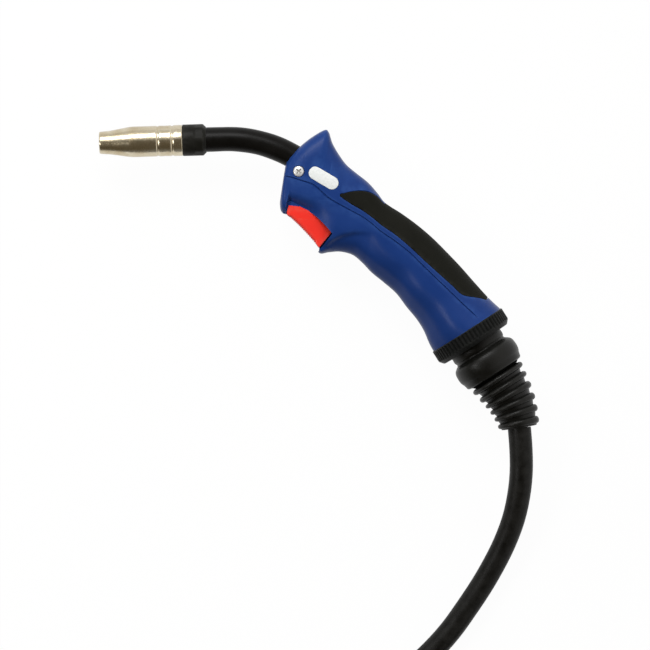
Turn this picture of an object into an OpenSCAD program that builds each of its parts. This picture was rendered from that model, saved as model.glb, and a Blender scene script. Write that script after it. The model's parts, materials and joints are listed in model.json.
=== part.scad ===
/* [Neck] */
// Diameter of the insulated swan neck
neck_d = 14.7; // [13:0.1:15]
// Radius of the neck's bend, on its centre line
neck_bend_r = 78; // [70:1:90]
// Angle through which the neck bends
neck_bend = 45; // [40:1:48]
// Distance from the nozzle's mouth to the start of the bend
bend_start = 75; // [72:1:80]

/* [Front end] */
// Length of the gas nozzle
nozzle_l = 50; // [46:1:54]
// Outer diameter of the gas nozzle's barrel
nozzle_d = 18.4; // [17.6:0.1:19]
// Outer diameter of the nozzle's mouth
mouth_d = 13.2; // [12:0.1:14]
// Bore of the contact tip, for 1.0 mm wire
wire_bore_d = 1.2; // [0.8:0.1:1.6]
// Outer diameter of the contact tip
tip_d = 6; // [6:0.5:8]

/* [Handle] */
// Wall thickness of the handle's two halves
wall = 2.8; // [2.4:0.1:3]
// Depth of the soft grip pads in the handle
pad_depth = 1.3; // [1:0.1:1.5]
// Angle of the handle's rear end below the nozzle's axis
tail_tilt = 59.2; // [58:0.1:60]
// Outer diameter of the knurled locking ring
ring_d = 49; // [48:0.5:51]
// Length of the locking ring
ring_l = 10; // [9:0.5:12]

/* [Trigger] */
// Width of the trigger
trigger_w = 19.2; // [17:0.1:19.4]
// Spacing of the trigger's finger serrations
serration = 2.2; // [1.8:0.1:3]

/* [Cable] */
// Diameter of the coaxial power cable
cable_d = 14; // [13:0.5:14]
// Length of the ribbed cable boot behind the ring
boot_l = 57; // [50:1:60]
// Number of ribs on the boot
boot_ribs = 6; // [4:1:7]
// Radius of the cable's outermost stored turn
coil_r = 94; // [90:1:96]
// Turns in each of the coil's two layers
layer_turns = 2.479; // [2.4:0.001:2.5]

/* [Connector] */
// Outer diameter of the connector's hand nut
nut_d = 48; // [46:1:50]
// Diameter of the connector's central gas and current pin
centre_pin_d = 10; // [9:0.1:11]

/* [Hidden] */
$fn = 64;

blue = "royalblue";
black = [0.12, 0.12, 0.13];
rubber_grey = [0.18, 0.18, 0.19];

// The torch is drawn with the nozzle's mouth at the origin, its axis along +X and its
// plane of symmetry at z = 0. It then lies on its side, on the locking ring's rim.
lie_z = ring_d / 2;
centre_x = 129.29;
centre_y = -85.21;

// Handle sections, front to rear. Each row is a section plane square to the plane of
// symmetry: top point x, y; bottom point x, y; half width; roundness exponent; and how
// far down from the top the pad starts, the pad ends and the side groove runs.
sections = [
    [110.4,  -21.0, 107.1,  -39.5,  9.0, 2.4, 0.04,  0.08,  0.14],
    [112.2,  -14.6, 107.8,  -44.4, 12.6, 2.8, 0.17,  0.21,  0.30],
    [118.0,   -8.0, 111.0,  -46.6, 13.8, 3.2, 0.28,  0.32,  0.43],
    [126.0,   -1.4, 115.2,  -50.8, 14.6, 3.4, 0.36,  0.39,  0.51],
    [133.6,    3.6, 119.6,  -55.4, 15.0, 3.4, 0.40,  0.43,  0.55],
    [137.9,    2.0, 123.4,  -60.0, 15.0, 3.4, 0.41,  0.44,  0.54],
    [139.8,   -4.0, 126.8,  -65.0, 15.2, 3.3, 0.39,  0.42,  0.50],
    [143.0,  -10.6, 130.1,  -70.2, 15.5, 3.1, 0.355, 0.39,  0.46],
    [147.6,  -17.4, 135.6,  -69.8, 15.8, 2.9, 0.335, 0.37,  0.455],
    [153.4,  -22.7, 142.4,  -69.6, 16.0, 2.7, 0.235, 0.395, 0.47],
    [160.4,  -28.6, 149.8,  -71.8, 16.2, 2.6, 0.12,  0.395, 0.47],
    [165.9,  -35.2, 155.6,  -76.8, 16.5, 2.5, 0.04,  0.36,  0.435],
    [170.4,  -41.2, 161.0,  -82.8, 16.8, 2.4, 0.014, 0.325, 0.405],
    [180.0,  -47.9, 168.4,  -89.2, 17.3, 2.4, 0.014, 0.325, 0.403],
    [189.4,  -55.2, 175.4,  -95.8, 17.8, 2.4, 0.014, 0.34,  0.403],
    [198.2,  -63.2, 181.4, -104.2, 18.4, 2.4, 0.014, 0.335, 0.40],
    [206.4,  -71.9, 187.0, -111.4, 19.2, 2.3, 0.014, 0.315, 0.388],
    [214.4,  -80.8, 191.0, -118.2, 20.2, 2.2, 0.014, 0.285, 0.363],
    [222.0,  -90.0, 193.6, -124.8, 21.4, 2.1, 0.014, 0.235, 0.328],
    [230.4,  -99.8, 195.3, -128.6, 22.7, 2.05, 0.014, 0.05, 0.302],
    [237.35, -106.7, 196.65, -130.95, 23.7, 2.0, 0.014, 0.05, 0.30]];
last_row = len(sections) - 1;
steps = 2;
cavity_row = 1.5;
pad_first = 8;
pad_last = 19;
groove_half = 0.011;
groove_depth = 0.5;
ledge = 0.006;

// Soft dents in the shell: a finger scoop over the trigger behind the front lip, a hollow
// under the crease that runs back from the trigger, and a grip that swells between fingers
scoop_depth = 1.5;
hollow_depth = 1.4;
grip_depth = 0.7;
crease = [[128, -67.5], [135.1, -63.4], [139.1, -60.9], [145, -58.5], [151.6, -57.3],
    [160, -57.6], [170, -60]];
swells = [[165.5, -68], [188, -90.5], [205.5, -114.5]];
swell_r = 11.4;

// Places in the torch's plane
collar_xy = [217, -118.8];
trigger_pivot = [115.2, -38.6];
screw_xy = [119.1, -21.1];
plate_a = [128.9, -22.5];
plate_b = [138.7, -28.7];
plate_r = 3.9;
plate_top = 15.4;
plate_t = 0.9;

// Neck and cable run
core_r = 4.5;
stub_l = 20;
block_from = 14;
block_to = 40;
cable_from = 60;
cable_r = cable_d / 2;
inner_bend_r = 80;
inner_bend = tail_tilt - neck_bend;
boot_bend_r = 60;
boot_turn_from = 42.4;
boot_end = ring_l + boot_l;
boot_bore = cable_r + 0.3;
bend_steps = 10;
sleeve_steps = 8;
pipe_sides = 16;
circumscribed = 1 / cos(180 / pipe_sides);

function heading(a) = [cos(a), sin(a)];
function right_of(a) = [sin(a), -cos(a)];
function run(p, a, l) = p + l * heading(a);
// End of a bend to the right that starts at p in direction a
function bend_end(p, a, r, turn) = p + r * right_of(a) - r * right_of(a - turn);

neck_end = bend_end([bend_start, 0], 0, neck_bend_r, neck_bend);
straight_l = 53.5 + block_to - cable_from;
cable_start = run(neck_end, -neck_bend, cable_from);
inner_bend_xy = run(cable_start, -neck_bend, straight_l);
boot_turn_xy = run(collar_xy, -tail_tilt, boot_turn_from);
boot_turn = (boot_end - boot_turn_from) / boot_bend_r * 180 / PI;
cable_exit = bend_end(boot_turn_xy, -tail_tilt, boot_bend_r, boot_turn);
inner_line = concat([cable_start], arc(inner_bend_xy, -neck_bend, inner_bend_r, inner_bend, 3),
    arc(boot_turn_xy, -tail_tilt, boot_bend_r, boot_turn, 5));

// Free cable: hand-laid points, x and y in the torch's plane, z above the bench
cable_points = [
    [247.3, -192, 24.4], [247.0, -206, 23], [245.1, -220, 20.4], [241.6, -234, 16.8],
    [236.0, -248, 12.8], [229.2, -261, 9.6], [221.2, -274, 7.8], [212, -287, 7.2],
    [202, -300, 7.2], [190, -312.5, 7.1], [176.5, -324, 7.2], [162, -333, 7.6],
    [147, -339, 8.2]];
tail_points = [
    [122, -533, 20.4], [137.5, -537, 16.2], [153, -541, 12], [169, -543.8, 8.9],
    [185.5, -545, 7.4], [202, -545, 7.2], [218.8, -542.8, 7.2], [234.5, -536.3, 7.6],
    [248, -526, 9.6], [258.3, -512.5, 13.6], [264.8, -496.8, 18.2], [267, -480, 22]];
coil_xy = [119, -435];
coil_z = cable_r + 1.2;
layer_step = cable_d + 0.6;
coil_start = 90;
half_turn = 0.5;
all_turns = 2 * layer_turns + half_turn;
coil_rings = 24;
coil_sides = 6;
lead = cable_d;

plug_xy = [267, -468];
plug_z = nut_d / 2;
plug_body_from = 58;
seal_d = 1.25;
nut_from = 92;
nut_to = 126;
switch_pegs = [121, 128];
switch_box = [[118.2, -37.4], [131, -31.2]];
plunger_x = 127.5;

// ---------- general functions and shapes ----------
function spline(a, b, c, d, t) =
    0.5 * (2*b + (c - a)*t + (2*a - 5*b + 4*c - d)*t*t + (3*b - a - 3*c + d)*t*t*t);
function at(list, i) = list[min(max(i, 0), len(list) - 1)];
function spline_at(list, k) = let(i = floor(k))
    spline(at(list, i - 1), at(list, i), at(list, i + 1), at(list, i + 2), k - i);
function bezier(a, b, c, d, t) =
    pow(1-t, 3)*a + 3*t*pow(1-t, 2)*b + 3*t*t*(1-t)*c + t*t*t*d;
function unit(v) = v / norm(v);
function turned(faces) = [for (f = faces) [for (i = [len(f)-1:-1:0]) f[i]]];

function flat(p) = [for (q = p) [q[0], q[1], 0]];
function ahead_at(p, i) = i == 0 ? unit(p[1] - p[0])
    : i == len(p) - 1 ? unit(p[i] - p[i-1])
    : unit(unit(p[i+1] - p[i]) + unit(p[i] - p[i-1]));
function rings(points, radii, n, turn) = [for (i = [0:len(points)-1])
    let(ahead = ahead_at(points, i), side = unit(cross(ahead, [0, 0, 1])),
        up = cross(side, ahead))
    for (j = [0:n-1]) let(a = turn + 360*j/n)
        points[i] + radii[i] * (cos(a)*side + sin(a)*up)];

// A closed tube of n sides along points, one radius for each point, with an optional bore
module sweep(points, radii, n, turn = 0, bore = 0) {
    last = len(points) - 1;
    in = n * (last + 1);
    end = last * n;
    bores = bore > 0 ? rings(points, [for (p = points) bore], n, turn) : [];
    walls = [for (i = [0:last-1], j = [0:n-1], half = [0, 1])
        let(a = i*n + j, b = i*n + (j+1)%n)
        half == 0 ? [a, b, b + n] : [a, b + n, a + n]];
    inner_walls = [for (w = walls) [w[2] + in, w[1] + in, w[0] + in]];
    caps = [[for (j = [n-1:-1:0]) j], [for (j = [0:n-1]) end + j]];
    rims = [for (j = [0:n-1], half = [0, 1]) let(a = j, b = (j+1)%n)
        each half == 0 ? [[a, a + in, b + in], [end + a, end + b, end + b + in]]
            : [[a, b + in, b], [end + a, end + b + in, end + a + in]]];
    polyhedron(concat(rings(points, radii, n, turn), bores),
        bore > 0 ? concat(walls, inner_walls, rims) : concat(walls, caps), convexity = 8);
}
module even_sweep(points, r, n, bore = 0) {
    sweep(flat(points), [for (p = points) r], n, 0, bore);
}
function arc(p, a, r, turn, n) = [for (i = [0:n]) bend_end(p, a, r, turn*i/n)];
// Centre line from the front of the neck, round its bend and along the stub behind it
function neck_line(from, stub) = concat([[from, 0]],
    arc([bend_start, 0], 0, neck_bend_r, neck_bend, bend_steps),
    [run(neck_end, -neck_bend, stub)]);
function sleeve_line(from, n) = concat([[from, 0]],
    arc([bend_start, 0], 0, neck_bend_r, neck_bend*n/bend_steps, n));
module on_neck(s) {
    p = run(neck_end, -neck_bend, s);
    translate([p[0], p[1], 0]) rotate([0, 0, -neck_bend]) rotate([0, 90, 0]) children();
}
module on_tail(s) {
    p = run(collar_xy, -tail_tilt, s);
    translate([p[0], p[1], 0]) rotate([0, 0, -tail_tilt]) rotate([0, 90, 0]) children();
}
module on_nozzle(x) {
    translate([x, 0, 0]) rotate([0, 90, 0]) children();
}
module on_plug(s) {
    translate([plug_xy[0], plug_xy[1] + s, plug_z - lie_z]) rotate([-90, 0, 0]) children();
}
module place() {
    translate([-centre_x, -centre_y, lie_z]) children();
}
// Disc with n straight flutes around its rim
module fluted(r, depth, n, h) {
    linear_extrude(h) polygon([for (i = [0:n-1], k = [0:3])
        let(a = 360*(i + [-0.3, 0.3, 0.42, 0.58][k])/n, q = k < 2 ? r : r - depth)
        q * [cos(a), sin(a)]]);
}
// Wire spring along +Z: radius r to the wire's middle, wire radius w
module spring(r, w, turns, h) {
    count = ceil(turns * 8);
    sweep([for (i = [0:count]) let(a = 360*turns*i/count)
        [r*cos(a), r*sin(a), w + (h - 2*w)*i/count]], [for (i = [0:count]) w], 6);
}

// ---------- handle shells ----------
// Angles round the half section, from the top edge (0) to the bottom edge (180)
function to_angle(u, n) = acos(sign(1 - 2*u) * pow(abs(1 - 2*u), n/2));
function split(a, b, n) = [for (i = [1:n]) a + (b - a)*i/n];
function ring_angles(row) = let(n = row[5], pad = to_angle(row[6], n),
        pad_in = to_angle(row[6] + ledge, n), low_in = to_angle(row[7] - ledge, n),
        low = to_angle(row[7], n), over = to_angle(row[8] - groove_half, n),
        under = to_angle(row[8] + groove_half, n))
    concat([0], split(0, pad, 2), [pad_in], split(pad_in, low_in, 3), [low, over,
        (over + under)/2, under], split(under, 180, 8));
pad_line = 3;
low_line = 6;
groove_line = 9;
ring_n = 19;

// A point of the half section, sunk below the outer surface by d
function skin(row, a, d) =
    let(n = row[5], top = [row[0], row[1]], bottom = [row[2], row[3]],
        half = norm(top - bottom)/2 - d, mid = (top + bottom)/2,
        c = sign(cos(a)) * pow(abs(cos(a)), 2/n), s = pow(abs(sin(a)), 2/n))
    let(p = mid + half * c * unit(top - bottom))
    [p[0], p[1], a <= 0 || a >= 180 ? 0 : (row[4] - d) * s];
// 0 below low, 1 above high, and a soft slope between them
function soft(x, low, high) = let(t = min(max((x - low)/(high - low), 0), 1)) t*t*(3 - 2*t);
// Depth of the dents at point p; across is 0 at the seam and 1 at the side, share is 0 at
// the top edge and 1 at the bottom
function relief(p, across, share) =
    let(lip = 110.3 + 0.2*(p[1] + 44.1), roof = -31.5 - 0.33*(p[0] - 114),
        scoop = soft(p[0], lip, lip + 1.3) * (1 - soft(p[0], lip + 3, lip + 24))
            * (1 - soft(p[1], roof - 7, roof)),
        edge = lookup(p[0], crease),
        hollow = (1 - soft(p[1], edge - 4.5, edge + 0.4)) * soft(p[0], 131, 139)
            * (1 - soft(p[0], 150, 166)),
        swell = min([for (q = swells) exp(-pow(norm([p[0], p[1]] - q)/swell_r, 2))]
            * [for (q = swells) 1], 1),
        grip = (1 - swell) * soft(share, 0.42, 0.72) * soft(p[0], 152, 166)
            * (1 - soft(p[0], 212, 222)))
    (scoop_depth*scoop + hollow_depth*hollow + grip_depth*grip) * soft(across, 0, 0.7);
function in_pad(k, j) = k >= pad_first && k <= pad_last && j >= pad_line && j <= low_line;
// The edge lines at the seam sink with the pad where the pad wraps over the top
function over_top(k, j) = k >= 12 && k < pad_last && j < pad_line;
function sink(k, j) = in_pad(k, j) || over_top(k, j) ? pad_depth
    : j == groove_line && k > 0 ? groove_depth : 0;

function stations(from, to) = [for (i = [from*steps:to*steps]) i/steps];
module half_shell() {
    outer = stations(0, last_row);
    inner = stations(cavity_row, last_row);
    no = len(outer);
    ni = len(inner);
    m = ring_n;
    rows_out = [for (k = outer) spline_at(sections, k)];
    rows_in = [for (k = inner) spline_at(sections, k)];
    points = concat(
        [for (i = [0:no-1]) let(row = rows_out[i], a = ring_angles(row)) for (j = [0:m-1])
            let(p = skin(row, a[j], 0), dent = relief(p, p[2]/row[4], (1 - cos(a[j]))/2))
            skin(row, a[j], sink(outer[i], j) + dent)],
        [for (i = [0:ni-1]) let(a = ring_angles(rows_in[i])) for (j = [0:m-1])
            skin(rows_in[i], a[j], wall)]);
    base = no*m;
    first = cavity_row*steps;
    faces = concat(
        [for (i = [0:no-2], j = [0:m-2], h = [0, 1]) let(a = i*m + j)
            h == 0 ? [a, a+1, a+1+m] : [a, a+1+m, a+m]],
        [for (i = [0:ni-2], j = [0:m-2], h = [0, 1]) let(a = base + i*m + j)
            h == 0 ? [a, a+m, a+1+m] : [a, a+1+m, a+1]],
        [[for (j = [m-1:-1:0]) j]],
        [[for (j = [0:m-1]) base + j]],
        [for (j = [0:m-2], h = [0, 1]) let(a = (no-1)*m + j, b = base + (ni-1)*m + j)
            h == 0 ? [a, a+1, b+1] : [a, b+1, b]],
        [for (i = [first:no-2], h = [0, 1]) let(a = i*m, b = base + (i-first)*m)
            h == 0 ? [a, a+m, b+m] : [a, b+m, b]],
        [for (i = [first:no-2], h = [0, 1]) let(a = i*m + m-1, b = base + (i-first)*m + m-1)
            h == 0 ? [a, b+m, a+m] : [a, b, b+m]],
        [for (i = [0:first-1]) [i*m, (i+1)*m, base]],
        [for (i = [0:first-1]) [i*m + m-1, base + m-1, (i+1)*m + m-1]],
        [[0, base, base + m-1, m-1]]);
    polyhedron(points, turned(faces), convexity = 10);
}

// Side outline of the opening for the trigger, from the front lip to the horn
module trigger_pocket() {
    arch = [for (i = [0:10])
        bezier([112.1, -41.6], [122, -40.3], [132, -50.5], [138, -59], i/10)];
    linear_extrude(60, center = true)
        polygon(concat([[110.6, -62], [110.6, -46]], arch, [[128, -70.8], [120, -76]]));
}
module neck_way() {
    even_sweep(sleeve_line(bend_start - 1, sleeve_steps + 1), (neck_d/2 + 0.05) * circumscribed,
        pipe_sides);
    even_sweep(neck_line(bend_start - 1, stub_l), (core_r + 0.25) * circumscribed, pipe_sides);
}
module half_handle() {
    difference() {
        union() {
            half_shell();
            // screw boss, pivot boss and the threaded spigot for the locking ring
            translate([screw_xy[0], screw_xy[1], 0]) cylinder(r = 4, h = 12.2);
            translate([trigger_pivot[0], trigger_pivot[1], 9.9]) cylinder(r = 3, h = 2.4);
            on_tail(0) rotate([0, 0, 90]) rotate_extrude(angle = 180)
                polygon([[17.6, -4], [22.2, -3.4], [22.2, -0.4], [20.4, -0.4], [20.4, 5],
                    [17.6, 5]]);
        }
        trigger_pocket();
        linear_extrude(trigger_w/2 + 0.4) polygon([[110.6, -46], [110.9, -42.6],
            [112.2, -39.2], [112.4, -37.4], [114, -35.8], [117.5, -35.5], [121, -38],
            [119, -46]]);
        neck_way();
        translate([screw_xy[0], screw_xy[1], -1]) cylinder(r = 1.5, h = 30);
        translate([trigger_pivot[0], trigger_pivot[1], -1]) cylinder(r = 1.27, h = 12.8);
    }
}
module plate_outline(grow) {
    hull() {
        translate(plate_a) circle(r = plate_r + grow);
        translate(plate_b) circle(r = plate_r + grow);
    }
}
module handle_left() {
    color(blue) place() difference() {
        half_handle();
        translate([screw_xy[0], screw_xy[1], 12.6]) cylinder(r = 3.5, h = 5);
        translate([0, 0, plate_top - plate_t]) linear_extrude(4) plate_outline(0.1);
    }
}
module handle_right() {
    color(blue) place() union() {
        difference() {
            mirror([0, 0, 1]) half_handle();
            translate([screw_xy[0], screw_xy[1], -17]) cylinder(r = 3.3, h = 6.2, $fn = 6);
        }
        // pegs that carry the switch
        for (x = switch_pegs)
            translate([x, -33.4, -12.5]) cylinder(r = 0.95, h = 15, $fn = 24);
    }
}

// Soft pad, flush with the shell and seated in its recess
module half_pad() {
    ks = stations(pad_first, pad_last);
    rows = [for (k = ks) spline_at(sections, k)];
    n = len(ks);
    m = low_line + 1;
    lines = [for (i = [0:n-1]) let(a = ring_angles(rows[i]), t = (a[4] - a[3])/4)
        [for (j = [0:m-1]) over_top(ks[i], 0) || j > 3 ? a[j] : a[3] + j*t]];
    base = n*m;
    points = [for (d = [0, pad_depth - 0.04], i = [0:n-1], j = [0:m-1])
        skin(rows[i], lines[i][j], d)];
    faces = concat(
        [for (i = [0:n-2], j = [0:m-2], h = [0, 1]) let(a = i*m + j)
            h == 0 ? [a, a+1, a+1+m] : [a, a+1+m, a+m]],
        [for (i = [0:n-2], j = [0:m-2], h = [0, 1]) let(a = base + i*m + j)
            h == 0 ? [a, a+m, a+1+m] : [a, a+1+m, a+1]],
        [for (i = [0:n-2], h = [0, 1]) let(a = i*m, b = a + base)
            h == 0 ? [a, a+m, b+m] : [a, b+m, b]],
        [for (i = [0:n-2], h = [0, 1]) let(a = i*m + m-1, b = a + base)
            h == 0 ? [a, b+m, a+m] : [a, b, b+m]],
        [for (j = [0:m-2], h = [0, 1]) let(a = j, b = a + base)
            h == 0 ? [a, b+1, a+1] : [a, b, b+1]],
        [for (j = [0:m-2], h = [0, 1]) let(a = (n-1)*m + j, b = a + base)
            h == 0 ? [a, a+1, b+1] : [a, b+1, b]]);
    polyhedron(points, turned(faces), convexity = 8);
}
module grip_pad_left() {
    color(black) place() half_pad();
}
module grip_pad_right() {
    color(black) place() mirror([0, 0, 1]) half_pad();
}
module name_plate() {
    color("white") place() translate([0, 0, plate_top - plate_t])
        linear_extrude(plate_t) plate_outline(0);
}
module handle_screw() {
    color("silver") place() translate([screw_xy[0], screw_xy[1], 0]) difference() {
        union() {
            translate([0, 0, -13]) cylinder(r = 1.4, h = 25.8);
            translate([0, 0, 12.6]) cylinder(r = 3.25, h = 1);
            translate([0, 0, 13.6]) cylinder(r1 = 3.25, r2 = 2.4, h = 0.8);
        }
        for (a = [45, 135])
            rotate(a) translate([-1.9, -0.35, 13.2]) cube([3.8, 0.7, 2]);
    }
}
module handle_nut() {
    color("silver") place() translate([screw_xy[0], screw_xy[1], -13.2]) difference() {
        cylinder(r = 3.17, h = 2.4, $fn = 6);
        translate([0, 0, -1]) cylinder(r = 1.42, h = 5);
    }
}

// ---------- front end ----------
module gas_nozzle() {
    r = nozzle_d/2;
    m = mouth_d/2;
    color([0.86, 0.83, 0.76]) place() on_nozzle(0) rotate_extrude($fn = 96)
        polygon([[m - 1.1, 0], [m - 0.3, 0], [m, 0.4], [m + 0.5, 6.7], [r - 0.2, 18],
            [r, 20], [r, 34.4], [r - 0.3, 34.7], [r - 0.3, 35.5], [r, 35.8],
            [r + 0.1, 43.2], [r - 0.2, 43.5], [r - 0.2, 44.3], [r + 0.1, 44.6],
            [r + 0.1, nozzle_l - 0.4], [r - 0.3, nozzle_l], [r - 1.7, nozzle_l],
            [r - 1.7, 20], [r - 1.9, 18], [m - 1, 6]]);
}
module contact_tip() {
    r = tip_d/2;
    color([0.78, 0.48, 0.3]) place() on_nozzle(3) difference() {
        union() {
            cylinder(r1 = r - 1.1, r2 = r, h = 2);
            translate([0, 0, 2]) cylinder(r = r, h = 16);
            translate([0, 0, 18]) cylinder(r = r - 0.55, h = 7);
        }
        translate([0, 0, -1]) cylinder(r = wire_bore_d/2, h = 27);
        for (s = [1, -1])
            translate([s * (r + 1.5), 0, 15]) cube([4, 8, 3.4], center = true);
    }
}
module tip_adaptor() {
    color([0.8, 0.66, 0.35]) place() on_nozzle(21) difference() {
        rotate_extrude() polygon([[2.5, 0], [4.4, 0], [4.7, 0.4], [4.7, 14], [6.6, 15],
            [6.6, 18], [5.6, 18.4], [5.6, 29], [2.35, 29], [2.35, 37], [1.9, 37],
            [1.9, 8], [2.5, 8]]);
        for (i = [0:5])
            rotate(60*i) translate([0, 0, 10]) rotate([0, 90, 0])
                cylinder(r = 0.8, h = 8, $fn = 16);
    }
}
module nozzle_spring() {
    color("silver") place() on_nozzle(39.6) spring(6.7, 0.45, 2.5, 4.6);
}
module neck_insulator() {
    r = nozzle_d/2 + 0.25;
    ribs = 16;
    color(black) place() on_nozzle(0) difference() {
        rotate_extrude($fn = 96) polygon([[5.65, 44.8], [7.4, 44.8], [7.4, 50.1],
            [r - 0.3, 50.1], [r, 50.4], [r, 60.6], [r - 1.6, 62.8], [neck_d/2 + 0.05, 62.8],
            [neck_d/2 + 0.05, 56], [4.6, 56], [4.6, 50.1], [5.65, 50.1]]);
        for (i = [0:ribs-1])
            rotate(360*i/ribs) translate([r + 0.45, 0, 55.2]) cylinder(r = 0.8, h = 9, $fn = 16);
    }
}
module neck_core() {
    color([0.8, 0.66, 0.35]) place()
        even_sweep(neck_line(50.1, stub_l), core_r, pipe_sides, 2.4);
}
module neck_sleeve() {
    color(black) place() even_sweep(sleeve_line(56.1, sleeve_steps), neck_d/2, pipe_sides,
        core_r + 0.05);
}
module wire_liner() {
    color("gainsboro") place() even_sweep(neck_line(28.4, 50), 1.8, 8, 0.8);
}
module neck_block() {
    color([0.8, 0.66, 0.35]) place() on_neck(block_from) difference() {
        union() {
            cylinder(r = 10, h = 8, $fn = 6);
            translate([0, 0, 8]) cylinder(r = 9.4, h = 17);
            translate([0, 0, 25]) cylinder(r1 = 9.4, r2 = 8.4, h = 1);
        }
        translate([0, 0, -1]) cylinder(r = core_r + 0.03, h = stub_l - block_from + 1);
        translate([0, 0, -1]) cylinder(r = 2.4, h = 30);
        translate([0, 0, 14]) cylinder(r = 4.53, h = 14);
        translate([0, 0, 12]) rotate([90, 0, 0]) cylinder(r = 1.6, h = 12, $fn = 24);
    }
}
module cable_lug() {
    color([0.78, 0.48, 0.3]) place() on_neck(block_from + 14.2) difference() {
        union() {
            cylinder(r = 4.5, h = cable_from - block_from - 14.2);
            translate([0, 0, 12]) cylinder(r = 7, h = 4, $fn = 6);
        }
        translate([0, 0, -1]) cylinder(r = 1.9, h = 40);
    }
}
module cable_inner() {
    color(black) place() even_sweep(inner_line, cable_r, pipe_sides);
}

// ---------- trigger and switch ----------
// Serrated underside, as a shallow curve with a sawtooth laid over it
function belly(t) = bezier([111.3, -46.6], [116.4, -51.2], [122.6, -57.6], [129.7, -66.8], t);
module trigger_side() {
    teeth = floor(28 / serration);
    under = [for (i = [1:2*teeth-1]) let(t = 0.08 + 0.88*i/(2*teeth))
        belly(t) + (i % 2 == 0 ? [0, 0] : [0.45, 0.4])];
    polygon(concat([belly(0)], under, [belly(1), [137.4, -58.4], [136.4, -52], [130, -45.6],
        [126.4, -39.3], [118, -39.3], [112.8, -40], [111.6, -43]]));
}
module trigger() {
    p = trigger_pivot;
    color("red") place() difference() {
        intersection() {
            union() {
                linear_extrude(trigger_w, center = true) trigger_side();
                translate([p[0], p[1], -trigger_w/2]) cylinder(r = 2.4, h = trigger_w);
                translate([plunger_x - 1.2, -40, -2]) cube([2.4, 1.25, 4]);
            }
            // rounded lower edges, seen along the trigger
            translate([120, -56, 0]) rotate([0, 0, -49]) rotate([90, 0, 90])
                linear_extrude(90, center = true) offset(3) square([40, trigger_w - 6],
                    center = true);
        }
        translate([p[0], p[1], -20]) cylinder(r = 1.3, h = 40);
    }
}
module trigger_pin() {
    color("silver") place() translate([trigger_pivot[0], trigger_pivot[1], -11.7])
        cylinder(r = 1.25, h = 23.4);
}
module trigger_spring() {
    color("silver") place() translate([133.3, -48.9, 0]) rotate([0, 0, 45])
        rotate([0, 90, 0]) spring(1.9, 0.35, 4, 6);
}
module switch_body() {
    a = switch_box[0];
    b = switch_box[1];
    color("dimgray") place() difference() {
        translate([a[0], a[1], -2.9]) cube([b[0] - a[0], b[1] - a[1], 5.8]);
        for (x = switch_pegs)
            translate([x, -33.4, -5]) cylinder(r = 1, h = 10, $fn = 24);
        translate([plunger_x, a[1] - 1, 0]) rotate([-90, 0, 0]) cylinder(r = 1.05, h = 4.4);
    }
}
module switch_plunger() {
    color("white") place() translate([plunger_x, switch_box[0][1] - 1.25, 0])
        rotate([-90, 0, 0]) cylinder(r = 1, h = 2.95);
}
module control_wires() {
    route = [[131, -34.4, 1.5], [132.4, -34.4, 1.5], [133.2, -37.6, 3],
        [133.2, -41.4, 4.6], [137, -45.4, 6], [144.5, -53.2, 6.6], [152.5, -60.6, 6.2],
        [160, -63.4, 5], [166.3, -65.9, 3], [169.1, -68.7, 3]];
    color("gold") place() for (s = [1, -1])
        sweep([for (p = route) [p[0], p[1], s * p[2]]], [for (p = route) 0.75], 8);
}

// ---------- rear end ----------
module locking_ring() {
    r = ring_d/2;
    color(black) place() on_tail(0) difference() {
        intersection() {
            fluted(r, 0.55, 60, ring_l);
            rotate_extrude($fn = 96) polygon([[0, 0], [r - 0.6, 0], [r + 0.1, 0.7],
                [r + 0.1, ring_l - 2.7], [r - 2.2, ring_l], [0, ring_l]]);
        }
        translate([0, 0, -1]) cylinder(r = 20.6, h = 7.6);
        translate([0, 0, -1]) cylinder(r = 17.4, h = 20);
        translate([0, 0, -1]) cylinder(r = 23.9, h = 1.2);
    }
}
// Boot radius against distance from its front face
boot_neck = [17, 17, 16.4, 17.6, 20, 20.5, 20.2, 19.2, 18.8];
boot_neck_at = [0, 3.5, 4.6, 5.8, 9, 12, 15.6, 17.6, 20.4];
rib_from = 21.4;
rib_pitch = (boot_l - rib_from) / boot_ribs;
function rib_crest(i) = 17.2 - 0.95*i;
function rib_root(i) = 14.6 - 0.72*i;
function boot_xy(s) = s < boot_turn_from ? run(collar_xy, -tail_tilt, s)
    : bend_end(boot_turn_xy, -tail_tilt, boot_bend_r,
        (s - boot_turn_from)/boot_bend_r*180/PI);
module cable_boot() {
    outline = concat([for (i = [0:8]) [boot_neck_at[i], boot_neck[i]]],
        [for (i = [0:boot_ribs-1], k = [0:4]) let(t = [0.02, 0.3, 0.48, 0.66, 0.92][k])
            [rib_from + (i + t)*rib_pitch, k == 0 || k == 4 ? rib_root(i)
                : k == 2 ? rib_crest(i) : rib_crest(i) - 0.75]]);
    stops = [ring_l - 4.6, ring_l - 3.6, ring_l - 3.5];
    flange = [[stops[0], 19.6], [stops[1], 19.6], [stops[2], 17]];
    outer = concat(flange, [for (o = outline) [ring_l + 0.2 + o[0], o[1]]],
        [[boot_end, 12]]);
    bore = [for (i = [0:18]) ring_l - 5 + i*(boot_l + 6)/18];
    color(rubber_grey) place() difference() {
        sweep([for (o = outer) let(p = boot_xy(o[0])) [p[0], p[1], 0]],
            [for (o = outer) o[1]], 20);
        sweep([for (s = bore) let(p = boot_xy(s)) [p[0], p[1], 0]],
            [for (s = bore) boot_bore / cos(180/16)], 16);
    }
}

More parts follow.
